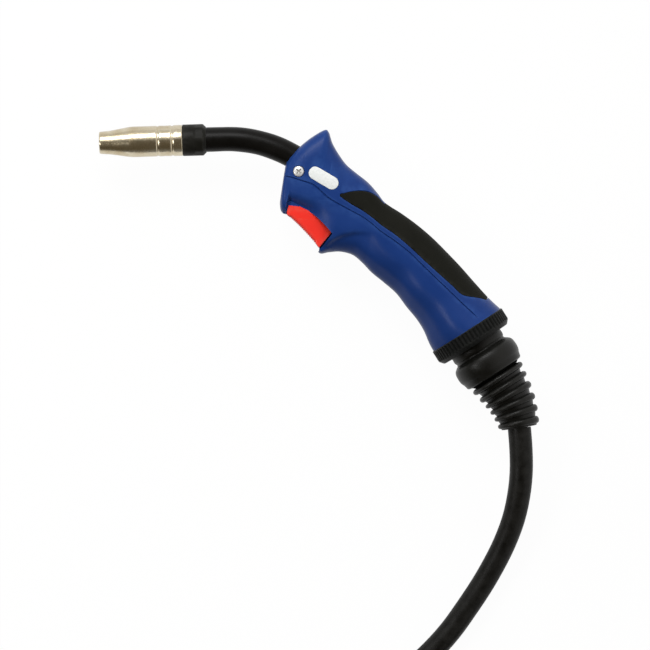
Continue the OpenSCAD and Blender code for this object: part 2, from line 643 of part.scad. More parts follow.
// ---------- cable, coil and ties ----------
function coil_pos(t) = let(a = coil_start + 360*t,
        down = min(t, layer_turns), up = max(t - layer_turns - half_turn, 0),
        climb = min(max((t - layer_turns)/half_turn, 0), 1),
        r = coil_r - layer_step*(down - up) - layer_step*half_turn/PI*sin(180*climb),
        z = coil_z + layer_step*(1 - cos(180*climb))/2)
    [coil_xy[0] + r*cos(a), coil_xy[1] + r*sin(a), z - lie_z];
coil_steps = round(all_turns * coil_rings);
coil_line = [for (i = [0:coil_steps]) coil_pos(all_turns*i/coil_steps)];
coil_in = coil_line[0] + [lead, 0, 0];
end_heading = coil_start + 360*all_turns + 90;
coil_out = coil_line[coil_steps] + lead * [cos(end_heading), sin(end_heading), 0];
coil_path = concat([coil_in], coil_line, [coil_out]);
// Least gap between turns, on the path's own points more than a third of a turn apart
coil_gap = min([for (i = [0:len(coil_path)-1], j = [i + 9:1:len(coil_path)-1])
    norm(coil_path[i] - coil_path[j])]) - cable_d;
echo(coil_gap = coil_gap);
function path_length(p) = let(steps = [for (i = [1:len(p)-1]) norm(p[i] - p[i-1])])
    steps * [for (l = steps) 1];

function laid(p) = [for (q = p) [q[0], q[1], q[2] - lie_z]];
cable_ends = concat([[cable_exit[0], cable_exit[1], 0]], laid(cable_points), [coil_in]);
tail_ends = concat([coil_out], laid(tail_points),
    [for (s = [0, 20, 40, plug_body_from]) [plug_xy[0], plug_xy[1] + s, plug_z - lie_z]]);
function smooth(points) = [for (i = [0:2*(len(points) - 1)]) spline_at(points, i/2)];
cable_line = smooth(cable_ends);
tail_line = smooth(tail_ends);
echo(cable_length = path_length(inner_line) + path_length(cable_line)
    + path_length(coil_path) + path_length(tail_line));
echo(parts_of_cable = [path_length(inner_line), path_length(cable_line),
    path_length(coil_path), path_length(tail_line)]);
module cable() {
    color(black) place() sweep(cable_line, [for (p = cable_line) cable_r], 12, 90);
}
module cable_coil() {
    color(black) place() sweep(coil_path, [for (p = coil_path) cable_r], coil_sides, 90);
}
module cable_tail() {
    color(black) place() sweep(tail_line, [for (p = tail_line) cable_r], 12, 90);
}
module tie(a, r_in, r_out) {
    top = layer_step + cable_d;
    translate([coil_xy[0], coil_xy[1], -lie_z]) rotate(a) translate([r_in, 0, 0])
        rotate([90, 0, 0]) linear_extrude(14, center = true) difference() {
            translate([-1.4, 0]) square([r_out - r_in + 2.8, top + 2.6]);
            translate([-0.2, 1.1]) square([r_out - r_in + 0.4, top + 0.4]);
        }
}
module coil_ties() {
    color("dimgray") place() {
        tie(0, 48.2, 91.2);
        tie(180, 53.6, 98.8);
    }
}

// ---------- connector ----------
module connector_boot() {
    ribs = 5;
    color(rubber_grey) place() on_plug(0) difference() {
        union() {
            cylinder(r1 = 9.4, r2 = 13.4, h = 34);
            for (i = [0:ribs-1])
                translate([0, 0, 2 + 6*i]) cylinder(r = 10.8 + 0.75*i, h = 3);
            translate([0, 0, 33]) cylinder(r = 14.6, h = 12);
        }
        translate([0, 0, -1]) cylinder(r = boot_bore, h = 50);
    }
}
module connector_housing() {
    color([0.16, 0.16, 0.17]) place() on_plug(38) difference() {
        intersection() {
            fluted(20.5, 0.8, 24, 52);
            rotate_extrude() polygon([[0, 0], [15.6, 0], [17.4, 1], [19.6, 9], [20.7, 15],
                [20.7, 50.8], [19.8, 52], [0, 52]]);
        }
        translate([0, 0, -1]) cylinder(r = 14.65, h = 8.1);
        translate([0, 0, 7]) cylinder(r = 14.1, h = 46);
        translate([0, 0, 44]) cylinder(r = 15.1, h = 10);
        for (a = [0, 180])
            rotate(a) translate([0, 0, 38]) rotate([0, 90, 0]) {
                cylinder(r = 1.6, h = 30);
                translate([0, 0, 18.4]) cylinder(r = 2.9, h = 5);
            }
    }
}
module housing_screws() {
    color("silver") place() on_plug(76) for (a = [0, 180])
        rotate(a) rotate([0, 90, 0]) difference() {
            union() {
                translate([0, 0, 13.2]) cylinder(r = 1.5, h = 6);
                translate([0, 0, 18.4]) cylinder(r = 2.7, h = 1.6);
            }
            translate([-0.35, -4, 19.4]) cube([0.7, 8, 2]);
        }
}
module connector_body() {
    r = centre_pin_d/2;
    color([0.8, 0.66, 0.35]) place() on_plug(plug_body_from) difference() {
        union() {
            cylinder(r = 6.6, h = 12);
            translate([0, 0, 12]) cylinder(r = 13, h = 13.8, $fn = 48);
            translate([0, 0, 25.8]) cylinder(r = 7.9, h = 17);
            translate([0, 0, 42]) cylinder(r = r, h = 32);
            translate([0, 0, 74]) cylinder(r1 = r, r2 = r - 0.8, h = 1);
        }
        translate([0, 0, 67]) difference() {
            cylinder(r = 8, h = 1.8);
            cylinder(r = r - seal_d - 0.05, h = 1.8);
        }
        translate([0, 0, -1]) cylinder(r = 2.4, h = 80);
        translate([0, 0, 70]) cylinder(r = 3.05, h = 10);
    }
}
module connector_face() {
    color("dimgray") place() on_plug(84) difference() {
        union() {
            cylinder(r = 15, h = 24);
            translate([0, 0, 12.3]) cylinder(r = 17.2, h = 3.4);
            // key that lines the plug up with its socket
            translate([-1.6, 11, 20]) cube([3.2, 5.2, 4]);
        }
        translate([0, 0, -1]) cylinder(r = 8, h = 30);
        for (s = [1, -1])
            translate([s * 5.4, -9.35, 4.4]) cylinder(r = 2.05, h = 25);
    }
}
module control_pin(side) {
    color("gold") place() on_plug(92) translate([side * 5.4, -9.35, 0]) {
        cylinder(r = 1.98, h = 25);
        translate([0, 0, 25]) cylinder(r1 = 1.98, r2 = 1.2, h = 1.2);
    }
}
module control_pin_a() {
    control_pin(1);
}
module control_pin_b() {
    control_pin(-1);
}
module union_nut() {
    h = nut_to - nut_from;
    r = nut_d/2;
    color(black) place() on_plug(nut_from) difference() {
        intersection() {
            fluted(r, 1.6, 16, h);
            rotate_extrude($fn = 96) polygon([[0, 0], [r - 4, 0], [r - 1, 2], [r + 0.2, 5.6],
                [r + 0.2, h - 1.7], [r - 1.5, h], [0, h]]);
        }
        translate([0, 0, -1]) cylinder(r = 15.3, h = h + 2);
        translate([0, 0, 4.2]) cylinder(r = 17.5, h = h);
        translate([0, 0, h - 1.2]) cylinder(r1 = 17.5, r2 = 18.9, h = 1.4);
    }
}
module liner_nut() {
    color([0.8, 0.66, 0.35]) place() on_plug(plug_body_from + 70.2) difference() {
        union() {
            cylinder(r = 3, h = 5);
            translate([0, 0, 4.9]) cylinder(r = 4.2, h = 3, $fn = 6);
        }
        translate([0, 0, -1]) cylinder(r = 1.2, h = 12);
    }
}
module o_ring() {
    color(black) place() on_plug(plug_body_from + 67.9) rotate_extrude()
        translate([centre_pin_d/2 - 0.02 - seal_d/2, 0]) circle(d = seal_d, $fn = 24);
}
gas_nozzle();
contact_tip();
tip_adaptor();
nozzle_spring();
neck_insulator();
neck_core();
neck_sleeve();
wire_liner();
neck_block();
cable_lug();
cable_inner();
handle_left();
handle_right();
grip_pad_left();
grip_pad_right();
name_plate();
handle_screw();
handle_nut();
trigger();
trigger_pin();
trigger_spring();
switch_body();
switch_plunger();
control_wires();
locking_ring();
cable_boot();
cable();
cable_coil();
cable_tail();
coil_ties();
connector_boot();
connector_housing();
housing_screws();
connector_body();
connector_face();
union_nut();
control_pin_a();
control_pin_b();
liner_nut();
o_ring();
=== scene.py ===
# %% [markdown]
# # A wire-feed welding torch
#
# The torch lies on its side on a bench. A bright gas nozzle sits on a bent, insulated neck,
# and the neck comes out of a blue handle with black grip pads and a red trigger. A knurled
# ring and a ribbed rubber boot hold the cable, which ends in the plug for the machine.
#
# The exact construction is loaded first and stays as it is. Everything made below is a finer
# skin for a piece of it, in the same place, so nothing has to be fitted afterwards.

# %% Load the construction
import json
import math

import bpy
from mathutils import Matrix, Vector


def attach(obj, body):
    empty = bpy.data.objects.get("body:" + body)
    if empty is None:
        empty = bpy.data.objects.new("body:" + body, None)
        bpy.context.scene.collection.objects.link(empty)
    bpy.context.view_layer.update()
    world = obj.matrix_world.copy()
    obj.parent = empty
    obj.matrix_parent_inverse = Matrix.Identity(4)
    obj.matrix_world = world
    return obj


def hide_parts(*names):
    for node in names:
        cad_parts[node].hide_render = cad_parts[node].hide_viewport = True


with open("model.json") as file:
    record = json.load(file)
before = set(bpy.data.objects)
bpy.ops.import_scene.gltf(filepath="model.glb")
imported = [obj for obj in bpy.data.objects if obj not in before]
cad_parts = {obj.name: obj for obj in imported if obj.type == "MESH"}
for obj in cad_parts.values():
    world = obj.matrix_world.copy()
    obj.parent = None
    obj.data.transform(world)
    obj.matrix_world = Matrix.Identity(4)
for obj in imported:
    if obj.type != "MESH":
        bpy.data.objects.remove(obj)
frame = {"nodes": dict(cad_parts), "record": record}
bpy.ops.object.select_all(action="DESELECT")
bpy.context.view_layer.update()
scene = bpy.context.scene

# %% [markdown]
# ## Where things are
#
# A torch is easiest to describe from its nozzle: the mouth is the zero point, the nozzle runs
# along X, and the handle hangs below it in the same plane. The record gives the place of the
# wire's bore, 15.5 mm behind the mouth, so the zero point is worked out from that.

# %% The torch's own millimetres
MM = 0.001
MOUTH_TO_MOUNT = 15.5
UP = Vector((0, 0, 1))
mounts = {m["name"]: Vector(m["pos_m"]) for m in frame["record"]["mounts"]}
MOUTH = mounts["wire_bore"] - Vector((MOUTH_TO_MOUNT * MM, 0, 0))


def spot(x, y, z=0.0):
    """A point given in the torch's millimetres, as a point of the scene in metres."""
    return MOUTH + Vector((x, y, z)) * MM


print("the nozzle's mouth is at", [round(c, 4) for c in MOUTH])

# %% [markdown]
# ## The camera
#
# A small tool on a white table is best seen from straight above through a long lens, which
# keeps its outline true. The camera hangs three metres up and is turned a little, so that
# the nozzle rises slightly to the right.

# %% Camera
VIEW_CENTRE = (132.0, -113.3)
VIEW_WIDTH = 0.390
CAMERA_HEIGHT = 3.0
CAMERA_ROLL = math.radians(-1.73)
SENSOR = 36.0

eye = spot(*VIEW_CENTRE)
bpy.ops.object.camera_add(
    location=(eye.x, eye.y, eye.z + CAMERA_HEIGHT), rotation=(0, 0, CAMERA_ROLL)
)
camera = bpy.context.active_object
camera.name = "camera"
camera.data.sensor_width = SENSOR
camera.data.lens = SENSOR * CAMERA_HEIGHT / VIEW_WIDTH
camera.data.clip_end = 20
scene.camera = camera
print("lens", round(camera.data.lens), "mm")

# %% [markdown]
# ## Paths that pieces follow
#
# The neck, the boot and the plug are all round pieces on a centre line. Each is modelled
# straight along X, where turning it ring by ring is simple, and then laid along its path:
# a straight line that bends to the right once.

# %% Paths
def bent_path(x, y, heading, bend_from=1e6, radius=1.0, turn=180.0, z=0.0):
    """A path from x, y towards heading, which bends right by turn degrees after bend_from."""
    a = math.radians(heading)
    ahead = Vector((math.cos(a), math.sin(a), 0))
    right = Vector((math.sin(a), -math.cos(a), 0))

    def path(s):
        t = min(max((s - bend_from) / radius, 0), math.radians(turn))
        point = spot(x, y, z) + MM * (
            min(s, bend_from) * ahead
            + radius * (math.sin(t) * ahead + (1 - math.cos(t)) * right)
        )
        point += MM * max(s - bend_from - radius * math.radians(turn), 0) * (
            math.cos(t) * ahead + math.sin(t) * right
        )
        return point, math.sin(t) * ahead - math.cos(t) * right

    return path


NECK = bent_path(0, 0, 0, bend_from=75, radius=78, turn=45)
COLLAR = (217.0, -118.8)
TAIL_TILT = -59.2
BOOT_TURN_FROM = 42.4
BOOT_TURN_R = 60
TAIL = bent_path(*COLLAR, TAIL_TILT, bend_from=BOOT_TURN_FROM, radius=BOOT_TURN_R)
PLUG_XY = (267.0, -468.0)
PLUG_Z = -0.5
PLUG = bent_path(*PLUG_XY, 90, z=PLUG_Z)
print("boot leaves the collar towards", TAIL_TILT, "degrees")

# %% [markdown]
# ## Smooth curves
#
# The cable, the handle and the boot all have long easy curves. A Bezier curve needs two
# handles for each point, while a Catmull-Rom curve runs through the points themselves, so a
# few measured places are enough. The same helper serves points and whole rows of a table.

# %% Smooth curves
def curve_at(points, k):
    """The place at station k on a smooth curve through the points (Catmull-Rom)."""
    i = min(max(int(k), 0), len(points) - 2)
    t = k - i
    near = (points[min(max(i + j, 0), len(points) - 1)] for j in (-1, 0, 1, 2))
    return tuple(0.5 * (2 * b + (c - a) * t + (2 * a - 5 * b + 4 * c - d) * t * t
                        + (3 * b - a - 3 * c + d) * t ** 3) for a, b, c, d in zip(*near))


def smooth(points, per):
    """The smooth curve through the points, with per steps for each stretch."""
    return [curve_at(points, i / per) for i in range((len(points) - 1) * per + 1)]


print("half way from 0 to 1 lies", curve_at([(0,), (1,)], 0.5)[0])

# %% [markdown]
# ## The cable
#
# A coaxial torch cable is a stiff rubber hose about 14 mm across and some 3 m long. It leaves
# the boot, comes down to the bench in an easy curve, and the length that isn't in use is
# coiled in two layers, tied, with the plug beside it. Its points are listed and joined by a
# smooth curve; only the coil is worked out, turn by turn.

# %% Where the cable lies
CABLE_R = 7.0
RING_LENGTH, BOOT_LENGTH = 10.0, 57.0
LIE = 24.5
CABLE_POINTS = [
    (247.3, -192, 24.4), (247.0, -206, 23), (245.1, -220, 20.4), (241.6, -234, 16.8),
    (236.0, -248, 12.8), (229.2, -261, 9.6), (221.2, -274, 7.8), (212, -287, 7.2),
    (202, -300, 7.2), (190, -312.5, 7.1), (176.5, -324, 7.2), (162, -333, 7.6),
    (147, -339, 8.2),
]
TAIL_POINTS = [
    (122, -533, 20.4), (137.5, -537, 16.2), (153, -541, 12), (169, -543.8, 8.9),
    (185.5, -545, 7.4), (202, -545, 7.2), (218.8, -542.8, 7.2), (234.5, -536.3, 7.6),
    (248, -526, 9.6), (258.3, -512.5, 13.6), (264.8, -496.8, 18.2), (267, -480, 22),
]
print(len(CABLE_POINTS), "points down to the coil,", len(TAIL_POINTS), "up to the plug")

# %% [markdown]
# ## The coil
#
# The lower layer winds inwards, climbs in half a turn and winds outwards again on top, as a
# cable does when it is laid down by hand. Points laid by hand would never keep the turns one
# cable apart, so this stretch is a formula.

# %% The coil
COIL_XY = (119.0, -435.0)
COIL_R = 94.0
LAYER_TURNS = 2.479
HALF_TURN = 0.5
LAYER_STEP = 14.6
COIL_Z = 8.2
COIL_START = 90.0
LEAD = 14.0
PER_TURN = 40


def coil_point(t):
    """The coil's centre line: a spiral in, a climb in the half turn where it turns, and out."""
    a = math.radians(COIL_START + 360 * t)
    down = min(t, LAYER_TURNS)
    up = max(t - LAYER_TURNS - HALF_TURN, 0)
    climb = min(max((t - LAYER_TURNS) / HALF_TURN, 0), 1)
    r = COIL_R - LAYER_STEP * (down - up)
    r -= LAYER_STEP * HALF_TURN / math.pi * math.sin(math.pi * climb)
    z = COIL_Z + LAYER_STEP * (1 - math.cos(math.pi * climb)) / 2
    return Vector((COIL_XY[0] + r * math.cos(a), COIL_XY[1] + r * math.sin(a), z))


ALL_TURNS = 2 * LAYER_TURNS + HALF_TURN
coil = [coil_point(ALL_TURNS * i / round(ALL_TURNS * PER_TURN))
        for i in range(round(ALL_TURNS * PER_TURN) + 1)]
end_heading = math.radians(COIL_START + 360 * ALL_TURNS + 90)
coil_in = coil[0] + Vector((LEAD, 0, 0))
coil_out = coil[-1] + LEAD * Vector((math.cos(end_heading), math.sin(end_heading), 0))
print("coil of", round(ALL_TURNS, 2), "turns")

# %% [markdown]
# ## The cable's route
#
# The route joins the boot's mouth, the listed points, the coil and the plug. Points that
# fall together are left out, because a bevelled curve pinches there, and the length is
# measured.

# %% The cable's route
PER_STRETCH = 3
SAME_PLACE = 1e-4

boot_end = RING_LENGTH + BOOT_LENGTH
exit_point = TAIL(boot_end)[0]
exit_mm = (exit_point - MOUTH) / MM + Vector((0, 0, LIE))
into_plug = [(PLUG_XY[0], PLUG_XY[1] + s, LIE + PLUG_Z) for s in (0, 20, 40)]
first = smooth([exit_mm] + CABLE_POINTS + [coil_in], PER_STRETCH)
last = smooth([coil_out] + TAIL_POINTS + into_plug, PER_STRETCH)
route = [spot(x, y, z - LIE) for x, y, z in first + coil + last]
route = [p for i, p in enumerate(route) if i == 0 or (p - route[i - 1]).length > SAME_PLACE]
cable_length = sum((b - a).length for a, b in zip(route, route[1:]))
print("free cable", round(cable_length, 3), "m over", len(route), "points")

# %% [markdown]
# ## The cable's skin
#
# A cable is one round section carried along its route. It could be made as a tube of faces,
# ring by ring, but a curve with a bevel does the same in one step and keeps the section
# round in every bend.

# %% Cable
ROUND = 8

cable_curve = bpy.data.curves.new("cable_run", "CURVE")
cable_curve.dimensions = "3D"
cable_curve.bevel_depth = 1.0
cable_curve.bevel_resolution = ROUND
cable_curve.use_fill_caps = True
line = cable_curve.splines.new("POLY")
line.points.add(len(route) - 1)
for point, place in zip(line.points, route):
    point.co, point.radius = (*place, 1), CABLE_R * MM
line.use_smooth = True
cable_run = bpy.data.objects.new("cable_run", cable_curve)
scene.collection.objects.link(cable_run)
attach(cable_run, "torch")
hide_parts("cable", "cable_coil", "cable_tail")
print("cable laid")

# %% [markdown]
# ## Nodes by name
#
# The room, the floor and every finish are built from nodes. Linking them one by one makes
# long code, so three helpers empty a tree, feed an input, and add a node with its values by
# name. They take a number or another node's output in the same place.

# %% Node helpers
def node_tree(owner):
    """Turns nodes on for a material or world and empties its tree."""
    owner.use_nodes = True
    owner.node_tree.nodes.clear()
    return owner.node_tree


def feed(tree, socket, value):
    """Gives an input its value, or a link where the value is another node's output."""
    if isinstance(value, bpy.types.NodeSocket):
        tree.links.new(value, socket)
    else:
        socket.default_value = value


def add(tree, kind, **values):
    """Adds a node; values name its inputs or its own settings."""
    node = tree.nodes.new(kind)
    for name, value in values.items():
        label = name.replace("_", " ")
        if label in node.inputs:
            feed(tree, node.inputs[label], value)
        else:
            setattr(node, name, value)
    return node


print("nodes can be added by name")

# %% [markdown]
# ## Sums, ranges and mixes
#
# Four kinds of node come back all the time: a sum, a change of range, a mix of two colours
# and a mix of two shaders. Each gets a helper that returns its output, so a finish can be
# written like a formula, from the inside out.

# %% Sums, ranges and mixes
def maths(tree, operation, a, b=0.0):
    """The result of a Math node fed by outputs or numbers."""
    node = add(tree, "ShaderNodeMath", operation=operation)
    feed(tree, node.inputs[0], a)
    feed(tree, node.inputs[1], b)
    return node.outputs[0]


def mapped(tree, value, low, high, to_low=0.0, to_high=1.0):
    """A value stretched from low..high to another range, and kept inside it."""
    return add(tree, "ShaderNodeMapRange", Value=value, From_Min=low, From_Max=high,
               To_Min=to_low, To_Max=to_high).outputs[0]


MIX_A, MIX_B, MIX_RESULT = 6, 7, 2


def blend(tree, share, a, b):
    """A colour between two, by a share; a and b are colours or outputs."""
    node = add(tree, "ShaderNodeMix", data_type="RGBA", Factor=share)
    for i, value in ((MIX_A, a), (MIX_B, b)):
        feed(tree, node.inputs[i], (*value, 1) if isinstance(value, tuple) else value)
    return node.outputs[MIX_RESULT]


def mix_shaders(tree, share, first, second):
    """A shader between two others, by a share."""
    node = add(tree, "ShaderNodeMixShader")
    for socket, value in zip(node.inputs, (share, first, second)):
        feed(tree, socket, value)
    return node.outputs[0]


print("nodes can be written like a formula")

# %% [markdown]
# ## The room
#
# Bright metal shows what stands round it, so the torch needs a room. Real walls would do,
# but a ramp of greys on the sky is quicker to set: dim on the trigger's side, bright beyond
# the top of the handle, and a white wall past the cable's end. The camera sees plain white.

# %% Room
# share of the way to the bright wall, grey, and how much blue is left in the grey
ROOM = [(0.0, 0.25, 1.0), (0.05, 0.11, 0.55), (0.55, 0.11, 0.55), (0.66, 0.55, 0.95),
        (1.0, 0.75, 1.0)]
LEAST_GREEN = 0.6
SIDE_WALL = (1.0, 0.98, 0.95)
SIDE_FROM, SIDE_TO = 0.3, 0.7

scene.view_settings.view_transform = "Standard"
scene.world = bpy.data.worlds.new("room")
tree = node_tree(scene.world)
look = add(tree, "ShaderNodeSeparateXYZ",
           Vector=add(tree, "ShaderNodeTexCoord").outputs["Generated"])
greys = add(tree, "ShaderNodeValToRGB")
feed(tree, greys.inputs[0], mapped(tree, look.outputs["Y"], -1.0, 1.0))
stops = greys.color_ramp.elements
for place, grey, blue in ROOM[1:-1]:
    stops.new(place)
for stop, (place, grey, blue) in zip(stops, ROOM):
    stop.position = place
    stop.color = (grey, grey * (LEAST_GREEN + (1 - LEAST_GREEN) * blue), grey * blue, 1)
side = mapped(tree, look.outputs["X"], SIDE_FROM, SIDE_TO)
room = add(tree, "ShaderNodeBackground", Color=blend(tree, side, greys.outputs[0], SIDE_WALL))
white = add(tree, "ShaderNodeBackground", Strength=1.0)
to_camera = add(tree, "ShaderNodeLightPath").outputs["Is Camera Ray"]
add(tree, "ShaderNodeOutputWorld",
    Surface=mix_shaders(tree, to_camera, room.outputs[0], white.outputs[0]))
print("room with", len(ROOM), "greys")

# %% [markdown]
# ## Lamps
#
# Two large square lamps light the torch. The key light stands beyond the top of the handle,
# and a softer one on the nozzle's side draws the light spots on the swells of the grip.
# Small lamps would be simpler to aim, but they give hard shadows.

# %% Lamps
LAMP_AIM = (120, -60)


def area_light(name, place, size, power):
    """A soft square light that looks at the handle."""
    bpy.ops.object.light_add(type="AREA", location=place)
    lamp = bpy.context.active_object
    lamp.name = name
    lamp.data.shape = "RECTANGLE"
    lamp.data.size, lamp.data.size_y = size
    lamp.data.energy = power
    aim = spot(*LAMP_AIM) - Vector(place)
    lamp.rotation_euler = aim.to_track_quat("-Z", "Y").to_euler()
    print(name, power, "W")


area_light("key_light", (-0.35, 1.25, 1.35), (1.2, 0.7), 20)
area_light("left_light", (-1.44, -0.23, 1.5), (0.65, 0.65), 10)

# %% [markdown]
# ## The floor
#
# The bench is white, but a white floor under lamps never comes out evenly white. This one
# glows for every ray that looks at it, straight or in a reflection, and keeps a small share
# of matt grey, which takes the torch's faint shadow.

# %% Floor
FLOOR_SIZE = 8
SHADOW_SHARE = 0.1
FLOOR_GREY = 0.35
FLOOR_GLOW = (1 - SHADOW_SHARE * FLOOR_GREY) / (1 - SHADOW_SHARE)


def seen_directly(tree):
    """1 where a camera, glossy or transmission ray looks, and 0 for the light itself."""
    rays = add(tree, "ShaderNodeLightPath").outputs
    either = maths(tree, "MAXIMUM", rays["Is Camera Ray"], rays["Is Glossy Ray"])
    return maths(tree, "MAXIMUM", either, rays["Is Transmission Ray"])


bpy.ops.mesh.primitive_plane_add(size=FLOOR_SIZE, location=(0, 0, 0))
floor = bpy.context.active_object
floor.name = "floor"
paper = bpy.data.materials.new("white_floor")
tree = node_tree(paper)
matt = add(tree, "ShaderNodeBsdfDiffuse", Color=(FLOOR_GREY, FLOOR_GREY, FLOOR_GREY, 1))
glow = add(tree, "ShaderNodeEmission", Strength=FLOOR_GLOW)
share = maths(tree, "MULTIPLY", seen_directly(tree), 1 - SHADOW_SHARE)
add(tree, "ShaderNodeOutputMaterial",
    Surface=mix_shaders(tree, share, matt.outputs[0], glow.outputs[0]))
floor.data.materials.append(paper)
print("floor", FLOOR_SIZE, "m wide")

# %% [markdown]
# ## Ways of working
#
# Every piece starts from a plain Blender shape and is changed in edit mode. A few helpers
# pick a piece, open it, and close it again with its points merged and its faces outwards.

# %% Editing helpers
SMOOTH_UNDER = 38
MERGE = 1e-6
AXIS = 0.0004  # a radius so small that its ring closes to a point
FINISHED = []


def start(name):
    """Takes the object that was just added as the piece name."""
    piece = bpy.context.active_object
    piece.name = piece.data.name = name
    return piece


def only(piece):
    """Makes a piece the active one and the only one selected."""
    bpy.ops.object.select_all(action="DESELECT")
    piece.select_set(True)
    bpy.context.view_layer.objects.active = piece


def edit(mode="VERT"):
    """Opens the active piece for editing, with everything selected."""
    bpy.ops.object.mode_set(mode="EDIT")
    bpy.ops.mesh.select_mode(type=mode)
    bpy.ops.mesh.select_all(action="SELECT")


def close_up():
    """Merges doubles, points every face outwards and goes back to object mode."""
    bpy.ops.mesh.select_all(action="SELECT")
    bpy.ops.mesh.remove_doubles(threshold=MERGE)
    bpy.ops.mesh.normals_make_consistent(inside=False)
    bpy.ops.object.mode_set(mode="OBJECT")


print("pieces are smoothed under", SMOOTH_UNDER, "degrees")

# %% [markdown]
# ## Turned pieces
#
# Most pieces of a torch are round. Spinning a profile would make them in one step, but
# extruding a circle and resizing each ring, as on a lathe, keeps every ring where its place
# and radius say, so points can still be pressed in before the piece is laid along its path.

# %% Turning
def turned(name, profile, sides=96):
    """A round piece along X, ring by ring: profile holds (place, radius) in millimetres."""
    bpy.ops.object.select_all(action="DESELECT")
    s, r = profile[0]
    bpy.ops.mesh.primitive_circle_add(
        vertices=sides, radius=r * MM, location=(s * MM, 0, 0), rotation=(0, math.pi / 2, 0))
    piece = start(name)
    bpy.ops.object.transform_apply(location=True, rotation=True, scale=True)
    edit()
    for s_next, r_next in profile[1:]:
        bpy.ops.mesh.extrude_edges_move(
            TRANSFORM_OT_translate={"value": ((s_next - s) * MM, 0, 0)})
        bpy.ops.transform.resize(
            value=(1, r_next / r, r_next / r), center_override=(s_next * MM, 0, 0))
        s, r = s_next, r_next
    close_up()
    return piece


print("round pieces can be turned")

# %% [markdown]
# ## Placing pieces
#
# A piece is modelled along X and then moved to where it belongs, point by point. Turning the
# object would be quicker for a straight piece, but the neck and the boot are bent, and a
# finished piece keeps its place in its mesh. Grooves are pressed in before it is moved.

# %% Placing
def placed(piece, place):
    """Moves every point of a piece to where place(point) puts it."""
    for v in piece.data.vertices:
        v.co = place(v.co)
    return piece


def lay_along(piece, path):
    """Lays a piece that was modelled along X on a path."""
    def place(p):
        point, left = path(p.x / MM)
        return point + left * p.y + UP * p.z

    return placed(piece, place)


def press_in(piece, depth):
    """Presses a turned piece in by depth(place, radius, turn) millimetres at every point."""
    def place(p):
        r = math.hypot(p.y, p.z) / MM
        k = 1 - depth(p.x / MM, r, math.atan2(p.z, p.y)) / r
        return p.x, p.y * k, p.z * k

    return placed(piece, place)


print("round pieces can be pressed in, bent and placed")

# %% [markdown]
# ## Seating and cutting
#
# Each finished piece rides on a body of the construction and replaces the plain node whose
# place it takes. Openings are cut with a Boolean, in its exact mode, as the walls are thin.

# %% Seating and cutting
def seat(piece, body, node, slot, angle=SMOOTH_UNDER):
    """Smooths a piece and puts it on its body in place of its plain node."""
    only(piece)
    bpy.ops.object.shade_smooth_by_angle(angle=math.radians(angle))
    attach(piece, body)
    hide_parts(node)
    FINISHED.append((piece, slot))
    print(piece.name, len(piece.data.polygons), "faces")


def apply_modifiers(piece):
    only(piece)
    for modifier in list(piece.modifiers):
        bpy.ops.object.modifier_apply(modifier=modifier.name)


def cut_with(piece, cutter):
    """Cuts the cutter's shape out of the piece and removes the cutter."""
    cut = piece.modifiers.new("cut", "BOOLEAN")
    cut.operation, cut.solver, cut.object = "DIFFERENCE", "EXACT", cutter
    apply_modifiers(piece)
    bpy.data.objects.remove(cutter)


print("each piece takes the place of one node")

# %% [markdown]
# ## The gas nozzle
#
# The nozzle is spun from copper tube and nickel plated: a long cylinder with a tapered front,
# a rolled lip at the mouth, and two turned grooves near the rear that grip the spring. A
# stack of cylinders would do from afar, but the lip and the grooves catch the light, so one
# profile runs along the outside and back along the bore.

# %% Gas nozzle
NOZZLE_PROFILE = [
    (0.00, 5.7), (0.00, 6.15), (0.12, 6.4), (0.4, 6.58), (0.9, 6.66), (6.7, 7.16), (12, 8.02),
    (15.5, 8.6), (17.6, 8.94), (19, 9.1), (20.4, 9.18), (26, 9.2), (33.9, 9.2), (34.3, 9.17),
    (34.55, 9.02), (34.8, 8.88), (35.3, 8.86), (35.6, 8.98), (35.9, 9.16), (36.3, 9.21),
    (37.6, 9.2), (39.4, 9.12), (41.2, 9.16), (42.6, 9.26), (43.0, 9.24), (43.25, 9.1),
    (43.5, 8.92), (44.1, 8.9), (44.35, 9.05), (44.65, 9.26), (45.2, 9.31), (49.2, 9.3),
    (49.6, 9.24), (49.9, 9.08), (50.0, 8.9), (50.0, 7.6), (49.8, 7.52), (20, 7.5), (18, 7.3),
    (6, 5.65), (0.3, 5.55), (0.00, 5.7),
]
nozzle = lay_along(turned("nozzle", NOZZLE_PROFILE, sides=128), NECK)
seat(nozzle, "nozzle", "gas_nozzle", "nickel")

# %% [markdown]
# ## The contact tip
#
# The copper tip inside the nozzle guides the wire. It shows at the mouth, and whole when the
# nozzle is pulled off: a small rounded cone, a shank and the bore. It is turned like the
# nozzle, as one profile, so the bore needs no cut.

# %% Contact tip
TIP_PROFILE = [
    (3.0, 0.6), (3.0, 1.6), (3.15, 1.9), (3.4, 2.05), (5.0, 2.95), (5.4, 3.0), (21, 3.0),
    (21, 2.45), (28, 2.45), (28, 0.6), (3.0, 0.6),
]
tip = lay_along(turned("tip", TIP_PROFILE, sides=64), NECK)
seat(tip, "torch", "contact_tip", "copper")

# %% [markdown]
# ## The insulator ring
#
# Behind the nozzle sits a moulded ring of hard black plastic. Its front half is plain and its
# rear half has shallow flutes for the fingers, so the rear rings are turned closely enough
# to be pushed in where a flute runs.

